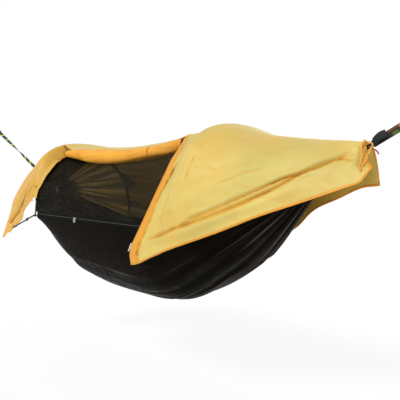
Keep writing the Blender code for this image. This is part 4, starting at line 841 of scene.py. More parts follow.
# Marks woven into the straps: place along, length, colour, and the part of the width between two shares
LEFT_TICKS = tuple((place, 0.030, LIME, -1.0, 1.0) for place in (0.463, 0.585, 0.93, 1.07, 1.20))
RIGHT_TICKS = (
    (0.160, 0.026, (0.065, 0.115, 0.011), -0.95, -0.05), (0.150, 0.050, (0.20, 0.035, 0.020), 0.40, 0.72),
    (0.188, 0.022, (0.36, 0.17, 0.06), 0.25, 0.90), (0.060, 0.030, (0.06, 0.10, 0.03), -0.9, -0.5),
)
strap("left", -1, 1.260, -0.65 * math.pi, LEFT_TICKS, ((0.012, 0.034, 0.016), (0.030, 0.075, 0.040)))
strap("right", 1, 0.225, 0.0, RIGHT_TICKS, ((0.006, 0.008, 0.007), (0.034, 0.038, 0.032)))
suspension_rope("left", -1)
suspension_rope("right", 1)
fly_tie("left", -1, (FLY_LEFT - BED_LEFT) / math.cos(RISE), STRAP_W, STRAP_T, 0.0, False)
# The right tie's place on its strap, and how deep the folded strap is there
RIGHT_TIE = (FLY_RIGHT - BED_RIGHT) / math.cos(RISE)
EYE_DEPTH = 2 * (CARABINER_R + GAP + STRAP_T)
NECK_SHARE = min(1.0, (RIGHT_TIE - 0.011 - OUTER_BAR) / 0.040)
TIED_DEPTH = EYE_DEPTH + (2 * STRAP_T - EYE_DEPTH) * NECK_SHARE
fly_tie("right", 1, RIGHT_TIE, 2 * FOLD_HALF, TIED_DEPTH, 0.0145, True)


def tie_out():
    """The webbing from the left pole's foot to the tab on the flap."""
    start = vec(-0.752, -0.3459, -0.1972)
    end = vec(-1.1927, -0.3193, -0.2877)
    run = unit(end - start)
    half = unit(np.cross(run, vec(0.0, -1.0, 0.0))) * 0.005
    path = np.array([start + (end - start) * k / 24 for k in range(25)])
    made = tape_piece("tie_out_strap", path, [half] * 25, 0.0011, TAPE, slot="black_webbing",
                      instead_of=("tie_out_webbing",))


tie_out()


# Bed

# The bed's pleats and the net's folds: how many round it, how deep, and the seed of their wander
BED_PLEATS = ((23, 0.0050, 1), (37, 0.0030, 2), (61, 0.0016, 3))
NET_FOLDS = ((17, 0.0042, 5), (29, 0.0026, 6), (47, 0.0012, 7))


def fold_strength(x):
    """Strong folds part of the way in from each gather, and none at the gathers or the middle."""
    share = abs(2 * (x + BED_LEFT) / (BED_LEFT + BED_RIGHT) - 1)
    return share**1.5 * (1 - share) * 4


def bed_grid():
    """The bed's points, each column from the near rim under to the far one, and how lit its pleats are."""
    grid, crest_highlight = [], []
    angle = np.pi * (np.linspace(0, 1, 151) - 0.5)
    for x in np.linspace(-BED_LEFT, BED_RIGHT, 231):
        edge = rim(x)
        depth = through(BELLY, (x - NECK_LEFT) / (NECK_RIGHT - NECK_LEFT)) + edge[2]
        drop = np.where(angle < 0, zip_opening(x) * np.sin(angle) ** 2, 0.0)
        drop[-1] = GAP / 2
        cover = np.cos(angle) ** 2
        fold = 0.009 * fold_strength(x) * cover * np.sin(18 * angle)
        run_in = np.clip((BED_RIGHT - x) / 2.1, 0, 1)
        fan = angle + 0.30 * (1 - run_in) * np.sin(angle * 1.3)
        pleats = 0.0
        for count, size, seed in BED_PLEATS:
            phase = 2.2 * waves(x * 1.2, angle, 0.5, seed)
            uneven = 0.5 + 0.5 * waves(x, angle, 0.33, seed + 9)
            pleats = pleats + size * np.sin(count * fan + phase) * uneven
        strength = ease(run_in * 6) * (0.25 + 0.75 * (1 - run_in))
        left = ease((x + BED_LEFT) / 0.3) * (0.25 + 0.5 * ease((-x - 0.2) / 0.8))
        hang = 0.0035 * waves(x, angle * 0.35, 0.16, 21) * ease((x + BED_LEFT) / 0.4)
        fold = fold + cover * (pleats * np.maximum(strength, 0.45 * left) + hang)
        # Painted highlight on the pleat crests, patchy, and growing towards the right end
        patchy = 0.30 + 0.70 * ease(0.4 + waves(x * 0.8, angle, 0.28, 24))
        strong = np.minimum(2.4 * np.maximum(strength - 0.24, 0.0), 1.0)
        crest_highlight.append(ease(pleats / BED_PLEATS[0][1] - 0.45) * ease(cover * 1.6) * patchy * strong)
        out = np.stack([0 * angle, np.sin(angle), -np.cos(angle)], 1)
        base = np.stack([0 * angle + x, -edge[1] * np.sin(angle), edge[2] - depth * np.cos(angle)], 1)
        grid.append(base + out * fold[:, None] - np.stack([0 * drop, 0 * drop, drop], 1))
    return np.array(grid), np.array(crest_highlight)


def build_bed():
    """The bed's black cloth from rim to rim."""
    grid, crest_highlight = (table[:, ::-1] for table in bed_grid())
    made = shell("bed_cloth", grid, 0.0009, NYLON, uv=centred_uv(grid), marks={"crest_highlight": crest_highlight},
                 slot="black_nylon", instead_of=("hammock_bed",))


def binding(word, side):
    """Whipping round the gathered cloth: seven tight turns of cord."""
    gather, _, _ = end_axes(side)
    inward = vec(-side, 0.0, 0.0)
    radius = GATHER * 1.09 + GAP + 0.0021
    turns, steps = 7, 24
    start, run = 0.0026, 0.0252
    route = []
    for k in range(turns * steps + 1):
        angle = 2 * math.pi * k / steps
        route.append(gather + inward * (start + run * k / (turns * steps))
                     + ACROSS * (radius * math.cos(angle)) + vec(0, 0, radius * math.sin(angle)))
    cord_piece(f"{word}_gather_binding", route, 0.0019, inward, CORD, 10, slot="black_cord",
               instead_of=(f"{word}_gather_wrap",))


def gathered_end(word, side):
    """The bunched cloth that closes the gathered end inside its binding."""
    around = np.linspace(0, 2 * np.pi, 97)[:, None]
    outer = 0.0196
    radius = np.linspace(0.0006, outer, 12)[None]
    ruffle = 0.0030 * np.sin(13 * around + 0.8 * np.sin(3 * around)) * radius / outer
    x = (NECK_LEFT if side < 0 else NECK_RIGHT) - side * (0.002 + (ruffle - 0.006 * (1 - radius / outer)))
    grid = np.stack([x, radius * np.cos(around), radius * np.sin(around)], -1)
    uv = np.stack([radius + 0 * around, around * 0.02 + 0 * radius], -1)
    made = shell(f"{word}_gathered_end", grid, 0.0006, NYLON, uv=uv, marks={"crest_highlight": 0.0},
                 slot="black_nylon")


binding("left", -1)
binding("right", 1)
build_bed()
gathered_end("left", -1)
gathered_end("right", 1)


# Net

def net_top(x):
    """How high the net's top stands: taut under the poles and down to the necks, slack between."""
    under = POLE_TOP - STANDOFF
    if abs(x) <= POLE_X:
        slack = 0.118 + 0.010 * float(ease(x / 0.30))
        return under - (under - slack) * (1 - (x / POLE_X) ** 4)
    neck = abs(NECK_LEFT if x < 0 else NECK_RIGHT)
    return GATHER + (under - GATHER) * max(0.0, (neck - abs(x)) / (neck - POLE_X))


def build_net():
    """Fine netting over the bed, with folds that gather towards both ends."""
    grid = []
    marks = {"gather": [], "seam": [], "patch": [], "fly_glow": []}
    angle = np.linspace(0, np.pi, 121)
    cosine, sine = np.cos(angle), np.abs(np.sin(angle))
    for x in np.linspace(-BED_LEFT, BED_RIGHT, 201):
        edge = rim(x)
        rise = net_top(x) - edge[2]
        dip = 0.060 * max(0.0, 1 - (x / POLE_X) ** 4)
        width = abs(edge[1]) - dip * np.abs(np.sin(2 * angle))
        end = BED_LEFT if x < 0 else BED_RIGHT
        closeness = float(ease(1 - (end - abs(x)) / 1.15))
        folds, rays = np.zeros_like(angle), np.zeros_like(angle)
        for count, size, seed in NET_FOLDS:
            wave = np.sin(count * angle + 2.0 * waves(x, angle, 0.6, seed))
            folds += size * wave
            rays = np.maximum(rays, (size / NET_FOLDS[0][1]) ** 0.5 * ease((wave - 0.40) / 0.5))
        folds *= closeness * min(1.0, (end - abs(x)) / 0.12) * sine
        slack = 0.004 * waves(x, angle * 0.4, 0.14, 31) * sine * (1 - closeness)
        lift = np.zeros_like(angle)
        lift[0], lift[-1] = zip_opening(x), GAP / 2
        y = -width * np.sign(cosine) * np.abs(cosine) ** SQUARE
        height = edge[2] + rise * sine**SQUARE
        # Past the poles the near side turns solid, and so does all of it near the tips: a dark sheet of
        # painted shade, its upper part with a painted glow of the fly behind
        painted_end = np.where(cosine > -0.1, 1.0 * (abs(x) > POLE_X), 0.0) + ease((abs(x) - 1.02) / 0.10)
        fin = 0.0030 * math.exp(-((abs(x) - POLE_X) / 0.008) ** 2) * (sine < 0.40)
        out = unit(np.stack([0 * angle, -cosine * 0.9, sine], 1))
        surface = np.stack([0 * angle + x, y, height + lift], 1)
        grid.append(surface + out * (folds - np.abs(slack) + fin)[:, None])
        marks["gather"].append(np.clip(0.25 * closeness**2 + 0.95 * closeness * rays + 1.5 * painted_end, 0, 1.6))
        marks["fly_glow"].append(ease(painted_end * 1.2) * ease((height + 0.05) / 0.10) * (1 - 0.85 * rays))
        to_ridge = np.abs(angle - np.pi / 2) * max(0.05, abs(edge[1]))
        to_pole = abs(abs(x) - POLE_X) + 0 * angle
        marks["seam"].append(np.minimum(to_ridge if abs(x) < POLE_X else 1.0, to_pole))
        # A nearly solid dark triangle in the net beside the left pole, on the far side
        reach = np.clip((angle - 1.70) / 0.75, 0, 1) * np.clip((2.68 - angle) / 0.16, 0, 1)
        reach = reach + 0.06 * (angle > 1.7)
        from_pole = x + POLE_X
        marks["patch"].append(0.80 * ((from_pole > 0) & (from_pole < 0.23 * reach)))
    grid = np.array(grid)
    marks = {key: np.array(rows, float) for key, rows in marks.items()}
    uv = centred_uv(grid[:, ::-1])[:, ::-1]
    made = shell("net", grid, 0.0006, NETTING, uv=uv, marks=marks, slot="black_mesh",
                 instead_of=("mosquito_net",))


build_net()


# Sleeves, pockets, cords in the poles

def build_sleeve(word, side):
    """A soft nylon sleeve, gathered a little along the arch, and the shock cord inside the pole."""
    pole = pole_path(side, 120)
    path = pole[8:-8]
    lengths = run_lengths(path)
    _, first, second = frames_along(path, vec(1.0, 0.0, 0.0))
    sides = 16
    angles = 2 * np.pi * np.arange(sides) / sides
    pucker = 0.00055 * waves(lengths[:, None] + 0 * angles, angles[None] * 0.004, 0.011, 41)
    ring = ring_ways(first, second, sides)
    outer = path[:, None] + ring * (SLEEVE_BORE + SLEEVE_WALL / 2 + 0.0006 + pucker)[:, :, None]
    inner = path[:, None] + ring * (SLEEVE_BORE - 0.0002)
    uv = np.stack(np.broadcast_arrays(angles[None] * 0.007, lengths[:, None]), -1).reshape(-1, 2)
    n = len(path)
    faces = ring_faces(n, sides, capped=False)
    faces += [tuple(reversed(f)) for f in ring_faces(n, sides, capped=False, start=n * sides)]
    for row, way in ((0, 1), (n - 1, -1)):
        for k in range(sides):
            a, b = row * sides + k, row * sides + (k + 1) % sides
            faces.append((a, b, b + n * sides, a + n * sides)[::way])
    points = np.concatenate([outer.reshape(-1, 3), inner.reshape(-1, 3)])
    piece(f"{word}_sleeve", points, faces, SLEEVE, uv=np.concatenate([uv, uv]), slot="black_nylon",
          instead_of=(f"{word}_pole_sleeve",))
    cord_piece(f"{word}_shock_cord", pole, 0.0016, vec(1.0, 0.0, 0.0), CORD, 8, slot="black_cord",
               instead_of=(f"{word}_pole_cord",))


def build_pocket(word, side, part):
    """A sewn webbing pocket that takes the pole's tip."""
    path = pole_path(side, 30)
    foot, following = (path[0], path[1]) if part == "near" else (path[-1], path[-2])
    up = unit(following - foot)
    top = foot - up * GAP
    flat = vec(1.0, 0.0, 0.0)
    side_way = np.cross(up, flat)
    bore, wall = 0.0034 + GAP, 0.0030
    seat = -0.014 - GAP
    # The pocket's section: radius and height, from its bottom up outside and down inside
    rows = (
        (0.001, seat - 0.004), (bore + wall * 0.7, seat - 0.004), (bore + wall, seat - 0.0025),
        (bore + wall * 0.92, seat + 0.003), (bore + wall, seat + 0.0075),
        (bore + wall * 0.95, seat + 0.0105), (bore + wall * 0.5, seat + 0.011),
        (bore + 0.0001, seat + 0.0105), (bore, seat + 0.003), (bore, seat), (0.001, seat),
    )
    sides = 20
    angles = 2 * np.pi * np.arange(sides) / sides
    points, uv = [], []
    for k, (radius, height) in enumerate(rows):
        for angle in angles:
            points.append(top + up * height + flat * (radius * math.cos(angle))
                          + side_way * (radius * math.sin(angle)))
            uv.append((angle * 0.006, k * 0.002))
    faces = [tuple(reversed(f)) for f in ring_faces(len(rows), sides)]
    piece(f"{word}_{part}_pole_pocket", np.array(points), faces, TAPE, uv=uv, slot="black_webbing",
          instead_of=(f"{word}_pole_{part}_pocket",))


for word, side in (("left", -1), ("right", 1)):
    build_sleeve(word, side)
    for part in ("near", "far"):
        build_pocket(word, side, part)


# Net zip

# A zip tooth's outline, in half widths and half heights
TOOTH = ((-1, -1), (0, -1.2), (1, -1), (1, 1), (0, 1.2), (-1, 1))


def coil(path, up, thickness):
    """Small teeth along a path, alternately above and below its middle."""
    pitch = 0.0030
    lengths = run_lengths(path)
    parts = []
    for k in range(int(lengths[-1] / pitch)):
        place = (k + 0.5) * pitch
        centre = at_length(path, lengths, place)
        run = unit(at_length(path, lengths, place + 0.001) - centre)
        out = unit(np.cross(run, up))
        centre = centre + up * (0.00035 if k % 2 else -0.00035)
        a, b, c = run * (pitch * 0.36), up * 0.0011, out * (thickness / 2)
        points = np.array([centre + a * i + b * j + c * h * (0.7 if j else 1.0)
                           for h in (-1, 1) for i, j in TOOTH])
        way = -1 if np.dot(np.cross(a, b), c) < 0 else 1
        faces = [face[::way] for face in ring_faces(2, len(TOOTH))]
        parts.append((points, faces, np.zeros((len(points), 2))))
    return parts


def build_net_zip():
    """The zip's two tapes and its teeth, from the left pole over the bed's low point to the right one."""
    start, middle = rim(-POLE_X), rim(LOW_X)
    along = unit(middle - start)
    up = unit(vec(0, 0, 1) - along * along[2])
    # The tapes start nearer the pole than the opening does, so that no gap shows
    first = start + along * (ZIP_MARGIN - 0.020)
    last = rim(POLE_X - ZIP_MARGIN)
    path = np.concatenate([first + (middle - first) * np.linspace(0, 1, 60)[:, None],
                           middle + (last - middle) * np.linspace(0, 1, 20)[1:, None]])
    for word, node, way in (("low", "net_zip_lower_tape", -1), ("high", "net_zip_upper_tape", 1)):
        shift = up * ((ZIP_GAP + ZIP_TAPE) / 2 * way)
        tape_piece(f"net_zip_tape_{word}", path + shift, [up * (ZIP_TAPE / 2)] * len(path), ZIP_THICK * 0.8,
                   ZIP_CLOTH, slot="black_nylon", instead_of=(node,))
    joined("net_zip_teeth", coil(path, up, 0.0013), COIL, slot="black_nylon")


build_net_zip()


# Fly

# How far the fly reaches to each side and up at the poles, clear of their sleeves
FLY_WIDE = POLE_WIDE + SLEEVE_BORE + SLEEVE_WALL + 0.0035 + 0.0014
FLY_TOP = POLE_TOP + 0.019
# The ridge's height at places along it, as shares
RIDGE = (
    (-2.0000, 0.848), (-1.6963, 1.086), (-1.4579, 1.259), (-1.1822, 1.289), (-1.0000, 1.233),
    (-0.6720, 1.060), (-0.4288, 0.940), (0.0000, 0.884), (0.4624, 0.914), (0.6720, 0.960),
    (0.8602, 0.984), (1.0000, 0.986), (1.2037, 0.759), (1.5340, 0.560), (2.0000, 0.358),
)
# Each column of the fly: its place on the ridge, how square its arch is, far foot and hem, near foot and hem
FLY_COLUMNS = (
    (-2.0000, 1.600, (-1.7897, 0.670, -0.842), (-1.7313, 0.810, -1.737),
     (-1.8131, -0.670, -0.737), (-1.8276, -0.838, -1.933)),
    (-1.7196, 1.450, (-1.6495, 0.810, -0.632), (-1.6262, 0.866, -1.737),
     (-1.6612, -0.782, -0.737), (-1.5899, -0.872, -1.627)),
    (-1.3692, 1.150, (-1.3575, 0.922, -0.632), (-1.3575, 0.963, -1.632),
     (-1.3633, -0.894, -0.632), (-1.3447, -0.914, -1.280)),
    (-1.0093, 0.823, (-1.0000, 1.000, -1.000), (-1.0000, 1.033, -1.579),
     (-1.0222, -1.000, -0.316), (-1.0280, -1.006, -0.621)),
    (-0.5645, 0.823, (-0.5645, 0.984, -1.053), (-0.5645, 1.000, -1.579),
     (-0.5645, -0.984, -1.053), (-0.5645, -0.990, -1.579)),
    (-0.1344, 0.823, (-0.1344, 0.984, -1.053), (-0.1344, 1.000, -1.579),
     (-0.1344, -0.984, -1.053), (-0.1344, -0.990, -1.684)),
    (0.2688, 0.823, (0.2688, 0.984, -1.053), (0.2688, 1.000, -1.579),
     (0.2688, -0.984, -1.053), (0.2688, -0.990, -1.895)),
    (0.5242, 0.823, (0.5645, 0.984, -1.053), (0.5645, 1.000, -1.526),
     (0.5645, -0.984, -1.053), (0.5645, -0.990, -1.895)),
    (0.8602, 1.120, (0.8602, 0.984, -1.053), (0.8602, 0.990, -1.421),
     (0.8401, -0.983, -1.053), (0.7863, -1.019, -1.979)),
    (1.0000, 0.845, (1.0000, 1.000, -1.000), (1.0000, 1.000, -1.342),
     (1.0000, -1.000, -1.000), (1.0000, -1.034, -1.737)),
    (1.2716, 1.000, (1.2716, 0.768, -0.526), (1.2870, 0.698, -0.974),
     (1.2716, -0.824, -0.579), (1.2870, -0.838, -1.379)),
    (1.5340, 1.100, (1.5185, 0.600, -0.316), (1.5031, 0.573, -0.674),
     (1.5340, -0.656, -0.421), (1.5494, -0.684, -1.032)),
    (1.7963, 1.150, (1.7809, 0.461, -0.105), (1.7809, 0.461, -0.432),
     (1.8117, -0.447, -0.263), (1.8426, -0.461, -0.684)),
    (2.0000, 1.200, (2.0123, 0.223, 0.043), (2.0123, 0.279, -0.368),
     (2.0278, -0.209, -0.053), (2.0586, -0.265, -0.379)),
)
# The fly's right end, drawn in by its tie: rows from the ridge to the hem
NEAR_END = (
    (1.386, 0.000, 0.083), (1.394, -0.012, 0.081), (1.408, -0.020, 0.066), (1.413, -0.026, 0.045),
    (1.418, -0.032, 0.024), (1.429, -0.040, 0.008), (1.443, -0.048, -0.008), (1.453, -0.052, -0.019),
    (1.443, -0.066, -0.043), (1.434, -0.082, -0.064), (1.428, -0.095, -0.075),
)
FAR_END = (
    (1.386, 0.000, 0.083), (1.386, 0.012, 0.080), (1.398, 0.018, 0.076), (1.408, 0.022, 0.057),
    (1.409, 0.034, 0.036), (1.407, 0.046, 0.016), (1.404, 0.058, -0.005), (1.399, 0.072, -0.026),
    (1.394, 0.086, -0.047), (1.392, 0.094, -0.057), (1.390, 0.100, -0.068),
)
# The closed panel's front edge from the ridge down to its corner, as shares of the fly's reach
DOOR_EDGE = (
    (0.5847, -0.154, 0.901), (0.6452, -0.318, 0.815), (0.7285, -0.564, 0.509), (0.7876, -0.774, 0.224),
)
ZIP_TOP_SHARES = (0.793, -0.880, -0.0895)
ZIP_FOOT_SHARES = (0.5605, -1.044, -1.858)
CORNER_SHARES = (0.5511, -1.011, -2.221)
# Columns of the fly: the door lies between two, one is the right pole's, and the ends are 0 and the last
DOOR_LEFT, DOOR_RIGHT, POLE_COLUMN = 3, 7, 9
LAST_COLUMN = len(FLY_COLUMNS) - 1
# Rows of the fly, from the ridge: the rolled door's top edge, the poles' feet and the hem
HEADER_ROW, FOOT_ROW, HEM_ROW = 2, 8, 10
# The rolled door's middle and radius at places along it, as shares
ROLL_SHARES = (
    (-0.9758, -0.447, 0.879, 0.500), (-0.8065, -0.433, 0.826, 0.763), (-0.5914, -0.397, 0.731, 1.000),
    (-0.4435, -0.375, 0.677, 1.118), (-0.2016, -0.341, 0.612, 0.974), (0.1075, -0.321, 0.605, 0.747),
    (0.2554, -0.307, 0.612, 0.700), (0.4435, -0.293, 0.632, 0.800), (0.6008, -0.279, 0.690, 0.740),
)
ROLL_R = 0.038
# Where round the roll the fly's cloth meets it
HEADER_ANGLE = math.radians(72)


def fly_x(place):
    """From a place counted in poles, where 1 is a pole and 2 the fly's end, to metres."""
    reach = FLY_LEFT if place < 0 else FLY_RIGHT
    return math.copysign(POLE_X * min(1.0, abs(place)) + (reach - POLE_X) * max(0.0, abs(place) - 1), place)


def fly_height(share):
    """From a share of the fly's height, or of the poles' feet below the origin, to metres."""
    return share * (FLY_TOP if share > 0 else POLE_FOOT)


def fly_point(shares):
    """The point at a place along, a share of the fly's width and a share of its height."""
    return vec(fly_x(shares[0]), shares[1] * FLY_WIDE, fly_height(shares[2]))


RIDGE_LINE = tuple((fly_x(place), fly_height(height)) for place, height in RIDGE)
ROLL_LINE = tuple((fly_x(place), vec(across * FLY_WIDE, height * FLY_TOP, radius * ROLL_R))
                  for place, across, height, radius in ROLL_SHARES)
ZIP_TOP, ZIP_FOOT = fly_point(ZIP_TOP_SHARES), fly_point(ZIP_FOOT_SHARES)


def fly_side(ridge, foot, hem, squareness, rows):
    """One side of a column: a squarish arch from ridge to foot, then straight to the hem."""
    rows = np.asarray(rows, float)[:, None]
    share = np.clip(rows / FOOT_ROW, 0, 1)
    angle = np.pi / 2 * share
    arch = np.hstack([ridge[0] + (foot[0] - ridge[0]) * share, foot[1] * np.sin(angle) ** squareness,
                      foot[2] + (ridge[2] - foot[2]) * np.cos(angle) ** squareness])
    return arch + (hem - foot) * np.clip((rows - FOOT_ROW) / (HEM_ROW - FOOT_ROW), 0, 1)


def door_edge(rows):
    """The closed panel's front edge: down from the ridge, along the zip and on to its corner."""
    x = fly_x(FLY_COLUMNS[DOOR_RIGHT][0])
    points = [vec(x, 0.0, through(RIDGE_LINE, x))] + [fly_point(s) for s in DOOR_EDGE]
    points += [ZIP_TOP + (ZIP_FOOT - ZIP_TOP) * k / 4 for k in range(5)] + [fly_point(CORNER_SHARES)]
    table = list(enumerate(points))
    return np.array([through(table, row) for row in rows])


FAR_ROWS = np.linspace(HEM_ROW, 0, 46)
NEAR_ROWS = np.linspace(0, HEM_ROW, 111)[1:]
PLACES = np.concatenate([
    np.linspace(0, DOOR_LEFT, 55)[:-1], np.linspace(DOOR_LEFT, DOOR_RIGHT, 65)[:-1],
    np.linspace(DOOR_RIGHT, POLE_COLUMN, 61)[:-1], np.linspace(POLE_COLUMN, LAST_COLUMN, 81),
])
RIDGE_ROW = len(FAR_ROWS) - 1
SIDE_ROW = np.concatenate([-FAR_ROWS, NEAR_ROWS])


def fly_base():
    """The fly without creases: columns from far hem over the ridge to near hem."""
    shapes = []
    for k, (place, squareness, far_foot, far_hem, near_foot, near_hem) in enumerate(FLY_COLUMNS):
        x = fly_x(place)
        ridge = vec(x, 0.0, through(RIDGE_LINE, x))
        far = fly_side(ridge, fly_point(far_foot), fly_point(far_hem), squareness, FAR_ROWS)
        if k == DOOR_RIGHT:
            near = door_edge(NEAR_ROWS)
        else:
            near = fly_side(ridge, fly_point(near_foot), fly_point(near_hem), squareness, NEAR_ROWS)
        shapes.append(np.concatenate([far, near]))
    far_end = list(enumerate(map(np.array, FAR_END)))
    near_end = list(enumerate(map(np.array, NEAR_END)))
    shapes[-1] = np.array([through(far_end, row) for row in FAR_ROWS]
                          + [through(near_end, row) for row in NEAR_ROWS])
    table = list(enumerate(shapes))
    return np.array([through(table, place) for place in PLACES])


def header(x):
    """Where the fly meets the rolled door."""
    middle = through(ROLL_LINE, x)
    reach = middle[2] + 0.0022 + 6 * GAP
    return vec(x, middle[0] + reach * math.cos(HEADER_ANGLE), middle[1] + reach * math.sin(HEADER_ANGLE))


# Creases of the near panel in its (x, z) plane: points, half width, depth inwards and how much painted shade
# each gets
PANEL_CREASES = (
    (((0.530, -0.306), (0.667, -0.270), (0.798, -0.226), (0.921, -0.182), (1.028, -0.143), (1.126, -0.100),
      (1.215, -0.046), (1.295, -0.003), (1.349, 0.029), (1.390, 0.058)), 0.0075, 0.021, 1.0),
    (((0.780, -0.216), (0.867, -0.185), (0.974, -0.141), (1.076, -0.099), (1.170, -0.056), (1.230, -0.032)),
     0.0060, 0.016, 1.0),
    (((0.530, -0.312), (0.778, -0.267), (0.933, -0.196), (1.106, -0.145), (1.26, -0.07)), 0.022, -0.009, 0.0),
    (((0.700, -0.262), (0.850, -0.222), (0.990, -0.170), (1.100, -0.128)), 0.006, 0.005, 0.55),
    (((0.783, 0.117), (0.779, 0.067), (0.770, 0.004), (0.766, -0.055)), 0.0035, 0.0060, 0.85),
    (((0.792, 0.007), (0.893, -0.009)), 0.0035, 0.0030, 0.5),
    (((1.075, 0.059), (1.097, -0.012)), 0.005, -0.0040, 0.0),
    (((1.097, -0.012), (1.015, -0.028), (0.978, -0.049), (0.913, -0.070)), 0.0045, 0.0045, 0.6),
    (((0.665, -0.106), (0.630, -0.178), (0.614, -0.255)), 0.006, 0.0055, 0.5),
    (((0.690, -0.100), (0.665, -0.190), (0.640, -0.262)), 0.008, -0.0045, 0.0),
    (((1.393, 0.068), (1.405, 0.025), (1.411, -0.005), (1.412, -0.031)), 0.0050, 0.0080, 1.0),
    (((1.413, 0.051), (1.415, 0.021), (1.416, -0.012)), 0.0040, 0.0060, 0.8),
    (((1.376, 0.068), (1.386, 0.026), (1.390, -0.015)), 0.0080, -0.0070, 0.0),
    (((1.338, 0.028), (1.364, 0.017), (1.390, 0.008)), 0.0060, 0.0045, 0.7),
    (((1.420, 0.012), (1.433, -0.020), (1.432, -0.046)), 0.0035, 0.0040, 0.7),
    (((1.428, 0.008), (1.446, -0.021), (1.443, -0.039)), 0.0035, 0.0040, 0.7),
    (((1.350, 0.040), (1.345, -0.020), (1.330, -0.080)), 0.0070, 0.0030, 0.3),
    (((0.545, -0.345), (0.70, -0.352), (0.80, -0.320)), 0.020, -0.0035, 0.0),
)
# Folds of the left flap, on its near side
FLAP_CREASES = (
    (((-0.857, 0.014), (-0.954, -0.067), (-1.115, -0.165), (-1.361, -0.265)), 0.014, 0.024, 1.0),
    (((-0.930, 0.030), (-1.060, -0.060), (-1.240, -0.150), (-1.420, -0.280)), 0.030, -0.010, 0.0),
    (((-0.800, -0.010), (-0.900, -0.105), (-1.020, -0.180)), 0.008, 0.006, 0.5),
)


# Where the door's pull is hinged, in the (x, z) plane
DOOR_PULL = (0.4156, -0.3284)
# The mark for cloth that is nowhere near the placket
FAR_OFF = 9.0
CLOTH_THICK = 0.0008


def column_at(place):
    """The grid's column nearest to a place among the fly's columns."""
    return int(np.argmin(np.abs(PLACES - place)))


def add_header(grid, base):
    """Above the open door the near side ends in a strip from the ridge down to the roll."""
    in_door = ease((PLACES - DOOR_LEFT) / 0.3) * ease((DOOR_RIGHT - PLACES) / 0.15)
    for i in np.flatnonzero((PLACES > DOOR_LEFT) & (PLACES < DOOR_RIGHT)):
        top = base[i, RIDGE_ROW]
        edge = header(top[0])
        middle = (top + edge) / 2 + vec(0, 0, 0.007)
        for j in range(RIDGE_ROW + 1, len(SIDE_ROW)):
            t = min(1.0, SIDE_ROW[j] / HEADER_ROW)
            strip = top * ((1 - t) * (1 - 2 * t)) + middle * (4 * t * (1 - t)) + edge * (t * (2 * t - 1))
            grid[i, j] = base[i, j] * (1 - in_door[i]) + strip * in_door[i]


def creased(x, z, parts):
    """The creases' push outwards and their painted shade, each on its own part of the cloth."""
    push, fold = np.zeros(x.shape), np.zeros(x.shape)
    wobble = 1 + 0.25 * waves(x, z, 0.05, 71)
    for mask, creases in parts:
        for line, width, depth, dark in creases:
            away, share = nearness(x, z, line)
            ends = ease(share / 0.10 + 0.15) * ease((1 - share) / 0.12 + 0.1)
            push += np.where(mask, -depth * np.exp(-(away / (width * wobble)) ** 2) * ends, 0.0)
            fold += np.where(mask, dark * np.exp(-(away / (width * 0.8)) ** 2) * ends, 0.0)
    return push, fold


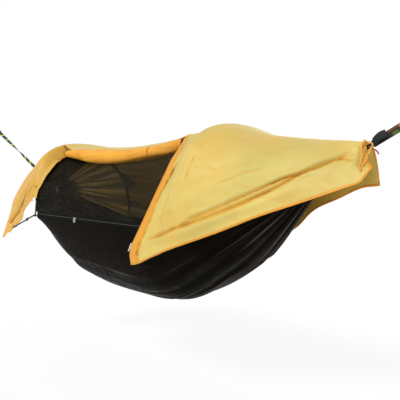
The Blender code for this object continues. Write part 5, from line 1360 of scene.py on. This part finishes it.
def build_fly():
    """The whole rain fly: base shape, header strip, creases, ripples and seams."""
    base = fly_base()
    columns, rows = base.shape[:2]
    place = np.broadcast_to(PLACES[:, None], (columns, rows))
    row = np.broadcast_to(SIDE_ROW[None], (columns, rows))
    grid = base.copy()
    add_header(grid, base)
    x, z = grid[..., 0], grid[..., 2]
    near = row > 0
    right = near & (place > DOOR_RIGHT)
    panel = near & (place >= DOOR_RIGHT)
    flap = near & (place <= DOOR_LEFT)
    push, fold = creased(x, z, ((panel, PANEL_CREASES), (flap, FLAP_CREASES)))
    # Slack ripples run along the way the panel is pulled, upright ones cross the flap
    pull_angle = -0.42
    pull = x * math.cos(pull_angle) - z * math.sin(pull_angle)
    cross = x * math.sin(pull_angle) + z * math.cos(pull_angle)
    calm = ease(np.abs(row) / 1.2)
    ripple = 0.0035 * waves(pull, cross * 4.0, 0.22, 51) + 0.0016 * waves(pull, cross * 3.0, 0.10, 52)
    push += np.where(right, ripple * calm, 0.0)
    upright = waves(x * 3.2, z, 0.20, 53) * 0.0030 + waves(x * 2.0, z, 0.07, 54) * 0.0012
    push += np.where(flap, upright * calm, 0.0)
    bent = cross * 5.0 + 0.11 * waves(pull, cross, 0.13, 67)
    skew = x * 2.6 + z * 1.1 + 0.07 * waves(x, z, 0.09, 68)
    crinkle = (1 - np.abs(waves(pull + 0.06 * waves(x, z, 0.10, 69), bent, 0.26, 59))) ** 10
    crinkle += 0.6 * (1 - np.abs(waves(skew, z * 1.3 - x * 0.5, 0.19, 60))) ** 10
    push += np.where(right, -0.0020 * crinkle * calm, 0.0)
    # Painted shade along the crinkles
    fold += np.where(right, 0.12 * crinkle * calm, 0.0)
    # The left flap gets a painted orange glow of light through it, by way of the fold mark
    fold += np.where(flap, 0.56 + 0.17 * ease(0.5 + waves(x * 2, z * 2, 0.12, 77)), 0.0)
    far_ripple = 0.0035 * waves(x * 2.2, z * 1.2, 0.24, 55) + 0.0014 * waves(x, z * 1.6, 0.09, 56)
    push += np.where(~near, far_ripple * calm, 0.0)
    # The placket along the panel's front edge: 1 at its seam, where the cloth puckers and gets painted shade
    edge_line = base[column_at(DOOR_RIGHT), RIDGE_ROW + 6:]
    from_edge = np.full((columns, rows), 1.0)
    for first, last in zip(edge_line, edge_line[1:]):
        step = last - first
        t = np.clip(((grid - first) @ step) / (step @ step), 0, 1)
        from_edge = np.minimum(from_edge, np.linalg.norm(grid - first - t[..., None] * step, axis=2))
    band = np.interp(z, (-0.40, -0.15, 0.15, 0.21), (0.056, 0.034, 0.022, 0.012))
    placket = np.where(panel, from_edge / band, FAR_OFF)
    seam_depth = 0.0042 * waves(z, x * 0.3, 0.018, 57)
    push += np.where(panel, seam_depth * np.exp(-((placket - 1.0) / 0.35) ** 2), 0.0)
    push += np.where(panel, 0.0016 * (1 - ease((placket - 0.92) / 0.10)), 0.0)
    pucker = 0.5 + 0.5 * waves(z, x * 0.6, 0.016, 58)
    fold += np.where(panel, (0.50 + 0.60 * pucker) * np.exp(-((placket - 1.08) / 0.20) ** 2), 0.0)
    fold += np.where(panel, 0.45 * pucker * np.exp(-((placket - 0.70) / 0.25) ** 2), 0.0)
    # The cloth lies on the pole sleeves and doesn't sink into them
    off_pole = ease((np.abs(np.abs(x) - POLE_X) - 0.010) / 0.020)
    push = np.maximum(push, -0.0022 - 0.030 * off_pole)
    # It lies flat where the door's pull swings
    from_pull = np.hypot(x - DOOR_PULL[0], z - DOOR_PULL[1])
    push = np.where(push > 0, push * ease((from_pull - 0.042) / 0.020), push)
    inward = unit(np.cross(np.gradient(grid, axis=0), np.gradient(grid, axis=1)))
    grid = grid - inward * push[..., None]
    # Scalloped hem of the left flap and a wavy far hem
    scallop = np.where(flap, ease((row - 8.6) / 1.4) * 0.006 * np.sin(x * 46.0), 0.0)
    scallop += np.where(~near, ease((-row - 9.0) / 1.0) * 0.004 * np.sin(x * 21.0), 0.0)
    grid[..., 2] += scallop
    down, run = grid_lengths(grid, 1), grid_lengths(grid, 0)
    hem = np.minimum(down, down[:, -1:] - down)
    hem = np.minimum(hem, np.minimum(run, run[-1:] - run))
    flap_edge = np.where(flap & (row > 1.5), run[column_at(DOOR_LEFT)][None] - run, 1.0)
    hem = np.minimum(hem, flap_edge + 0.004)
    inside = (place > DOOR_LEFT) & (place < DOOR_RIGHT) & near
    hem = np.where(inside, 0.5, hem)
    # Below the header strip the open door leaves a hole
    keep = np.ones((columns - 1, rows - 1), bool)
    middles = (PLACES[:-1] + PLACES[1:]) / 2
    keep[np.ix_((middles > DOOR_LEFT) & (middles < DOOR_RIGHT), SIDE_ROW[1:] > HEADER_ROW + 0.0001)] = False
    uv = np.stack([x, down - down[:, RIDGE_ROW:RIDGE_ROW + 1]], -1)
    marks = {"fold": np.clip(fold, 0, 1), "hem": hem, "placket": placket}
    made = shell("fly_cloth", grid[:, ::-1], CLOTH_THICK, RIPSTOP, keep=keep[:, ::-1], uv=uv[:, ::-1],
                 marks={key: value[:, ::-1] for key, value in marks.items()}, slot="yellow_ripstop",
                 instead_of=("rain_fly",))
    return grid


FLY_GRID = build_fly()


# The flap's turned edge starts and ends so many grid rows below the ridge
FLAP_ROWS = (23, 99)
# How far the flap's front edge lies past the pole, at shares of the arch
FLAP_EDGE = ((0.055, 0.012), (0.100, 0.018), (0.125, 0.024), (0.145, 0.028), (0.160, 0.032), (0.185, 0.042),
             (0.210, 0.054), (0.250, 0.050), (0.300, 0.036), (0.400, 0.024))


def build_flap_edge():
    """The flap's front edge, turned in from the fly's arch on to the pole sleeve and down in front of it."""
    outer = FLY_GRID[column_at(DOOR_LEFT), RIDGE_ROW + FLAP_ROWS[0]:RIDGE_ROW + FLAP_ROWS[1]]
    shares = np.linspace(FLAP_EDGE[-1][0], FLAP_EDGE[0][0], len(outer))
    past = straight(FLAP_EDGE, shares) + 0.003 * np.sin(np.linspace(0, 19, len(outer)))
    wrap = ease(past / 0.030)
    middle = np.array([pole_point(-1, share, 0.0110 - 0.0015 * w) for share, w in zip(shares, wrap)])
    inner = np.array([pole_point(-1, share, 0.0105 - 0.0125 * w) for share, w in zip(shares, wrap)])
    middle[:, 0] += np.minimum(past, 0.45 * past)
    inner[:, 0] += past
    middle = np.where(wrap[:, None] > 0, middle, (outer + inner) / 2)
    steps = np.linspace(0, 2, 25)[:, None, None]
    first, second = np.clip(steps, 0, 1), np.clip(steps - 1, 0, 1)
    grid = outer[None] * (1 - first) + middle[None] * (first - second) + inner[None] * second
    grid = grid + unit(middle - vec(-POLE_X, 0, -0.1)) * (0.004 * np.sin(np.pi * first))
    steps = steps[..., 0]
    ripples = 0.0016 * waves(grid[..., 2] * 2.0, grid[..., 0] * 2 + grid[..., 1], 0.05, 66)
    grid[..., 0] += ripples * np.sin(np.pi * steps / 2)
    down = run_lengths(outer)
    uv = np.stack([steps * 0.03 + 0 * down, 0 * steps + down], -1)
    trim = np.where((shares > 0.305)[None] & (steps > 1.0), 0.0, 0.03)
    # The turned edge gets the flap's painted glow, and where it is trimmed a deeper painted shade
    marks = {"fold": np.where(trim < 0.01, 0.95, 0.62)[:, ::-1], "hem": trim[:, ::-1], "placket": FAR_OFF}
    made = shell("flap_edge", grid[:, ::-1], CLOTH_THICK, RIPSTOP, uv=uv[:, ::-1], marks=marks,
                 slot="yellow_ripstop")


build_flap_edge()


# Rolled door

ROLL_TIES = (("left", fly_x(-0.712), 0.03), ("right", fly_x(0.229), 0.04))
# Slanting creases round the roll: place, slant, angle and depth as a share
ROLL_CREASES = (
    (-0.60, 2.2, 3.6, 0.10), (-0.38, -1.8, 3.9, 0.09), (-0.20, 1.4, 3.3, 0.07), (0.10, -1.6, 3.8, 0.10),
    (0.27, 2.4, 3.5, 0.09),
)


def bell(x, middle, width):
    return math.exp(-((x - middle) / width) ** 2)


def build_roll():
    """The door's cloth wound five times round itself, slack between its ties, with open spiral ends."""
    count, sides, turns = 96, 40, 5
    xs = np.linspace(ROLL_LINE[0][0], ROLL_LINE[-1][0], count + 1)
    steps = turns * sides
    grid = np.zeros((count + 1, steps + 1, 3))
    for i, x in enumerate(xs):
        middle = through(ROLL_LINE, x)
        radius = middle[2]
        pinch = 1
        for _, tie, depth in ROLL_TIES:
            pinch = pinch - depth * bell(x, tie, 0.020)
        corner = 0.16 * bell(x, -0.452, 0.030)
        taper = 0.82 + 0.18 * float(ease((x - xs[0]) / 0.03) * ease((xs[-1] - x) / 0.05))
        for k in range(steps + 1):
            share = k / steps
            angle = HEADER_ANGLE + 2 * math.pi * turns * share
            ripple = 0.016 * float(waves(x * 0.5, angle / 6.283 + 5, 0.09, 61))
            ripple += 0.035 * float(waves(x * 0.7, (angle % 6.2832) * 0.12, 0.15, 62))
            around = (angle + 0.4) % (2 * math.pi)
            facet = corner * bell(around, 4.55, 0.42)
            for place, lean, middle_angle, depth in ROLL_CREASES:
                on_line = around - middle_angle - lean * (x - place) * 2.2
                facet -= depth * bell(on_line, 0.0, 0.16) * bell(x, place, 0.13)
            size = radius * taper * pinch * (0.99 - 0.80 * share) * (1 + (ripple + facet) * (1 - share))
            droop = -0.10 * radius * (1 - share)
            grid[i, k] = (x, middle[0] + size * math.cos(angle) * 0.97,
                          middle[1] + size * 1.02 * math.sin(angle) + droop * max(0.0, -math.sin(angle)))
    spread = np.linspace(1, 0, steps + 1)
    grid[0, :, 0] += 0.006 * np.sin(np.linspace(0, 40, steps + 1)) * 0.5
    grid[-1, :, 0] -= 0.010 * (1 - spread)
    down = grid_lengths(grid, 1)
    uv = np.stack([grid[..., 0], down], -1)
    # Painted shade on the roll's left end, where it lies in shadow
    shaded_left_end = ease((xs[0] + 0.022 - grid[..., 0]) / 0.012)
    fold = np.clip(0.45 * waves(grid[..., 0], down * 3, 0.10, 63) + shaded_left_end, 0, 1)
    hem = np.minimum(np.abs(xs - xs[0]), np.abs(xs[-1] - xs))[:, None] + 0 * down + 0.004
    marks = {"fold": fold, "hem": hem, "placket": FAR_OFF}
    made = shell("wound_door", grid, CLOTH_THICK, ROLL_CLOTH, uv=uv, marks=marks, slot="yellow_ripstop",
                 instead_of=("rolled_door",))
    for word, place, _ in ROLL_TIES:
        middle = through(ROLL_LINE, place)
        size = middle[2] + 0.0012
        ring = []
        for k in range(40):
            angle = 2 * math.pi * k / 40
            ring.append(vec(place, middle[0] + size * math.cos(angle), middle[1] + size * math.sin(angle)))
        tape_piece(f"roll_tie_band_{word}", ring, [vec(0.005, 0, 0)] * 40, 0.0012, ROLL_CLOTH, closed=True,
                   slot="orange_tape", instead_of=(f"roll_tie_{word}",),
                   marks={"hem": 1.0, "placket": FAR_OFF, "fold": 0.1})


build_roll()


# Door zip, tab, corner loop

def build_door_zip():
    """The tape and teeth of the door's zip, beside the closed panel's edge."""
    along = unit(ZIP_FOOT - ZIP_TOP)
    turn = math.radians(20)
    away = vec(-math.cos(turn), math.sin(turn), 0.0)
    away = unit(away - along * np.dot(away, along))
    shift = away * (0.006 + 0.0006)
    path = ZIP_TOP + (ZIP_FOOT - ZIP_TOP) * np.linspace(0, 1, 60)[:, None] + shift
    tape_piece("door_zip_band", path, [away * 0.0058] * 60, 0.0011, ORANGE_TAPE, slot="orange_tape",
               instead_of=("door_zip_tape",))
    joined("door_zip_teeth", coil(path + away * 0.0050, away, 0.0012), ORANGE_COIL, slot="orange_tape")


# How far the tab is sewn out on the flap's hem
TAB_PROUD = 0.005


def build_small_tapes():
    """The loop on the left sleeve, and the tab on the flap's hem."""
    low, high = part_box("fly_corner_loop")
    start = vec(-POLE_X, high.y, low.z + 0.004)
    end = vec(-POLE_X, low.y, high.z - 0.004)
    middle = (start + end) / 2 + vec(0, 0.0015, 0.0045)
    path = smooth_path([start, middle, end], 12)
    tape_piece("corner_loop", path, [vec(0.004, 0, 0)] * len(path), 0.0012, TAPE, slot="black_webbing",
               instead_of=("fly_corner_loop",))
    corners = np.array([v.co for v in NODES["tie_out_tab"].data.vertices])
    centre = corners.mean(0) - ACROSS * TAB_PROUD
    _, _, axes = np.linalg.svd(corners - corners.mean(0))
    long_axis, wide_axis = axes[0], axes[1]
    reach = np.abs((corners - centre) @ long_axis).max()
    wide = np.abs((corners - centre) @ wide_axis).max()
    path = [centre + long_axis * (reach * t) for t in np.linspace(-1, 1, 12)]
    tape_piece("flap_tab", path, [wide_axis * wide] * 12, 0.0015, TAPE, slot="black_webbing",
               instead_of=("tie_out_tab",))


build_door_zip()
build_small_tapes()


# CAD nodes that stay

def slim_pull(name, lean):
    """A narrow moulded pull with a cord loop, in the space of a CAD plate and leaning a little."""
    plate = NODES[name]
    corners = np.array([plate.matrix_world @ v.co for v in plate.data.vertices])
    centre = (corners.min(0) + corners.max(0)) / 2
    _, _, axes = np.linalg.svd(corners - centre)
    down, wide = axes[0] * -np.sign(axes[0][2]), axes[1] * np.sign(axes[1][0])
    reach = np.abs((corners - centre) @ down).max()
    thin = unit(np.cross(down, wide))
    lean_way = unit(down + wide * lean)
    bpy.ops.object.select_all(action="DESELECT")
    bpy.ops.mesh.primitive_cube_add(size=1.0, location=Vector(centre - down * (reach * 0.05)))
    grip = bpy.context.active_object
    grip.name = f"{name}_grip"
    side_way = unit(np.cross(thin, lean_way))
    grip.rotation_euler = Matrix((side_way, lean_way, thin)).transposed().to_euler()
    grip.scale = (0.0040, reach * 0.95, 0.0016)
    bpy.ops.object.transform_apply(location=True, rotation=True, scale=True)
    rounding = grip.modifiers.new("rounding", "BEVEL")
    rounding.width, rounding.segments = 0.0007, 3
    bpy.ops.object.modifier_apply(modifier="rounding")
    grip.data.materials.clear()
    grip.data.materials.append(WHITE)
    top = centre - down * (reach * 0.82)
    low = centre - down * (reach * 0.05) - lean_way * (reach * 0.44)
    middle = (top + low) / 2
    loop = [top - side_way * 0.0012, middle - side_way * 0.0022, low, middle + side_way * 0.0022,
            top + side_way * 0.0012]
    cord_piece(f"{name}_loop", smooth_path(loop, 30), 0.0007, thin, WHITE_CORD, 8, body=name,
               slot="white_pull")
    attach(grip, name)
    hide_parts(name)


def refinish(finish, *names):
    """CAD nodes that stay get a finish in place of their own."""
    for name in names:
        mesh = NODES[name].data
        mesh.materials.clear()
        mesh.materials.append(finish)


for word in ("left", "right"):
    refinish(FIBRE, *(f"{word}_pole_{part}_tube" for part in ("near", "top", "far")))
    refinish(ALUMINIUM, f"{word}_pole_near_ferrule", f"{word}_pole_far_ferrule", f"{word}_carabiner_body")
    refinish(PLASTIC, f"{word}_pole_near_tip", f"{word}_pole_far_tip")
    refinish(STEEL, f"{word}_carabiner_gate", f"{word}_gate_pin", f"net_zip_{word}_slider")
    slim_pull(f"net_zip_{word}_pull", -0.13)
refinish(STEEL, "door_zip_slider")
refinish(WHITE, "door_zip_pull")
refinish(PLASTIC, "tie_out_lock")


# Floor, light and finish

def build_stage():
    """A white floor, a bright world that lights the tent less than it shows, and two suns."""
    bpy.ops.object.select_all(action="DESELECT")
    bpy.ops.mesh.primitive_plane_add(size=60.0, location=(0.0, 0.0, -1.10))
    floor = bpy.context.active_object
    floor.name = "floor"
    bpy.ops.object.transform_apply(location=True, rotation=True, scale=True)
    f = Finish("floor_paper", 0.9)
    f.set(Base_Color=(0.80, 0.80, 0.80))
    grain = f.noise(60.0, 3.0)
    f.bump(grain, 0.0004, 0.2)
    glow = f.node("ShaderNodeEmission", None, {"Color": (1, 1, 1), "Strength": 1.0})
    ray = f.tree.nodes.new("ShaderNodeLightPath")
    seen = f.math("MAXIMUM", ray.outputs["Is Camera Ray"],
                  f.math("MAXIMUM", ray.outputs["Is Glossy Ray"], ray.outputs["Is Transmission Ray"]))
    f.mix_with(f.math("MULTIPLY", seen, 0.80), glow)
    floor.data.materials.append(f.material)

    world = bpy.data.worlds.new("studio")
    bpy.context.scene.world = world
    world.use_nodes = True
    tree = world.node_tree
    back = tree.nodes["Background"]
    back.inputs["Color"].default_value = (1.0, 1.0, 1.0, 1.0)
    ray = tree.nodes.new("ShaderNodeLightPath")

    def either(first, second):
        larger = tree.nodes.new("ShaderNodeMath")
        larger.operation = "MAXIMUM"
        tree.links.new(first, larger.inputs[0])
        tree.links.new(second, larger.inputs[1])
        return larger.outputs[0]

    bent = either(ray.outputs["Is Glossy Ray"], ray.outputs["Is Transmission Ray"])
    level = tree.nodes.new("ShaderNodeMapRange")
    level.inputs[3].default_value = 0.58
    level.inputs[4].default_value = 1.0
    tree.links.new(either(ray.outputs["Is Camera Ray"], bent), level.inputs[0])
    tree.links.new(level.outputs[0], back.inputs["Strength"])

    def lamp(name, kind, energy, direction, size):
        data = bpy.data.lights.new(name, kind)
        data.energy = energy
        data.angle = size
        lamp_object = bpy.data.objects.new(name, data)
        bpy.context.scene.collection.objects.link(lamp_object)
        lamp_object.rotation_euler = Vector(direction).to_track_quat("-Z", "Y").to_euler()

    lamp("key", "SUN", 2.35, (-0.18, 0.76, -0.52), math.radians(16))
    lamp("back", "SUN", 3.0, (0.25, -0.94, -0.24), math.radians(50))


build_stage()
bpy.context.scene.view_settings.view_transform = "Standard"
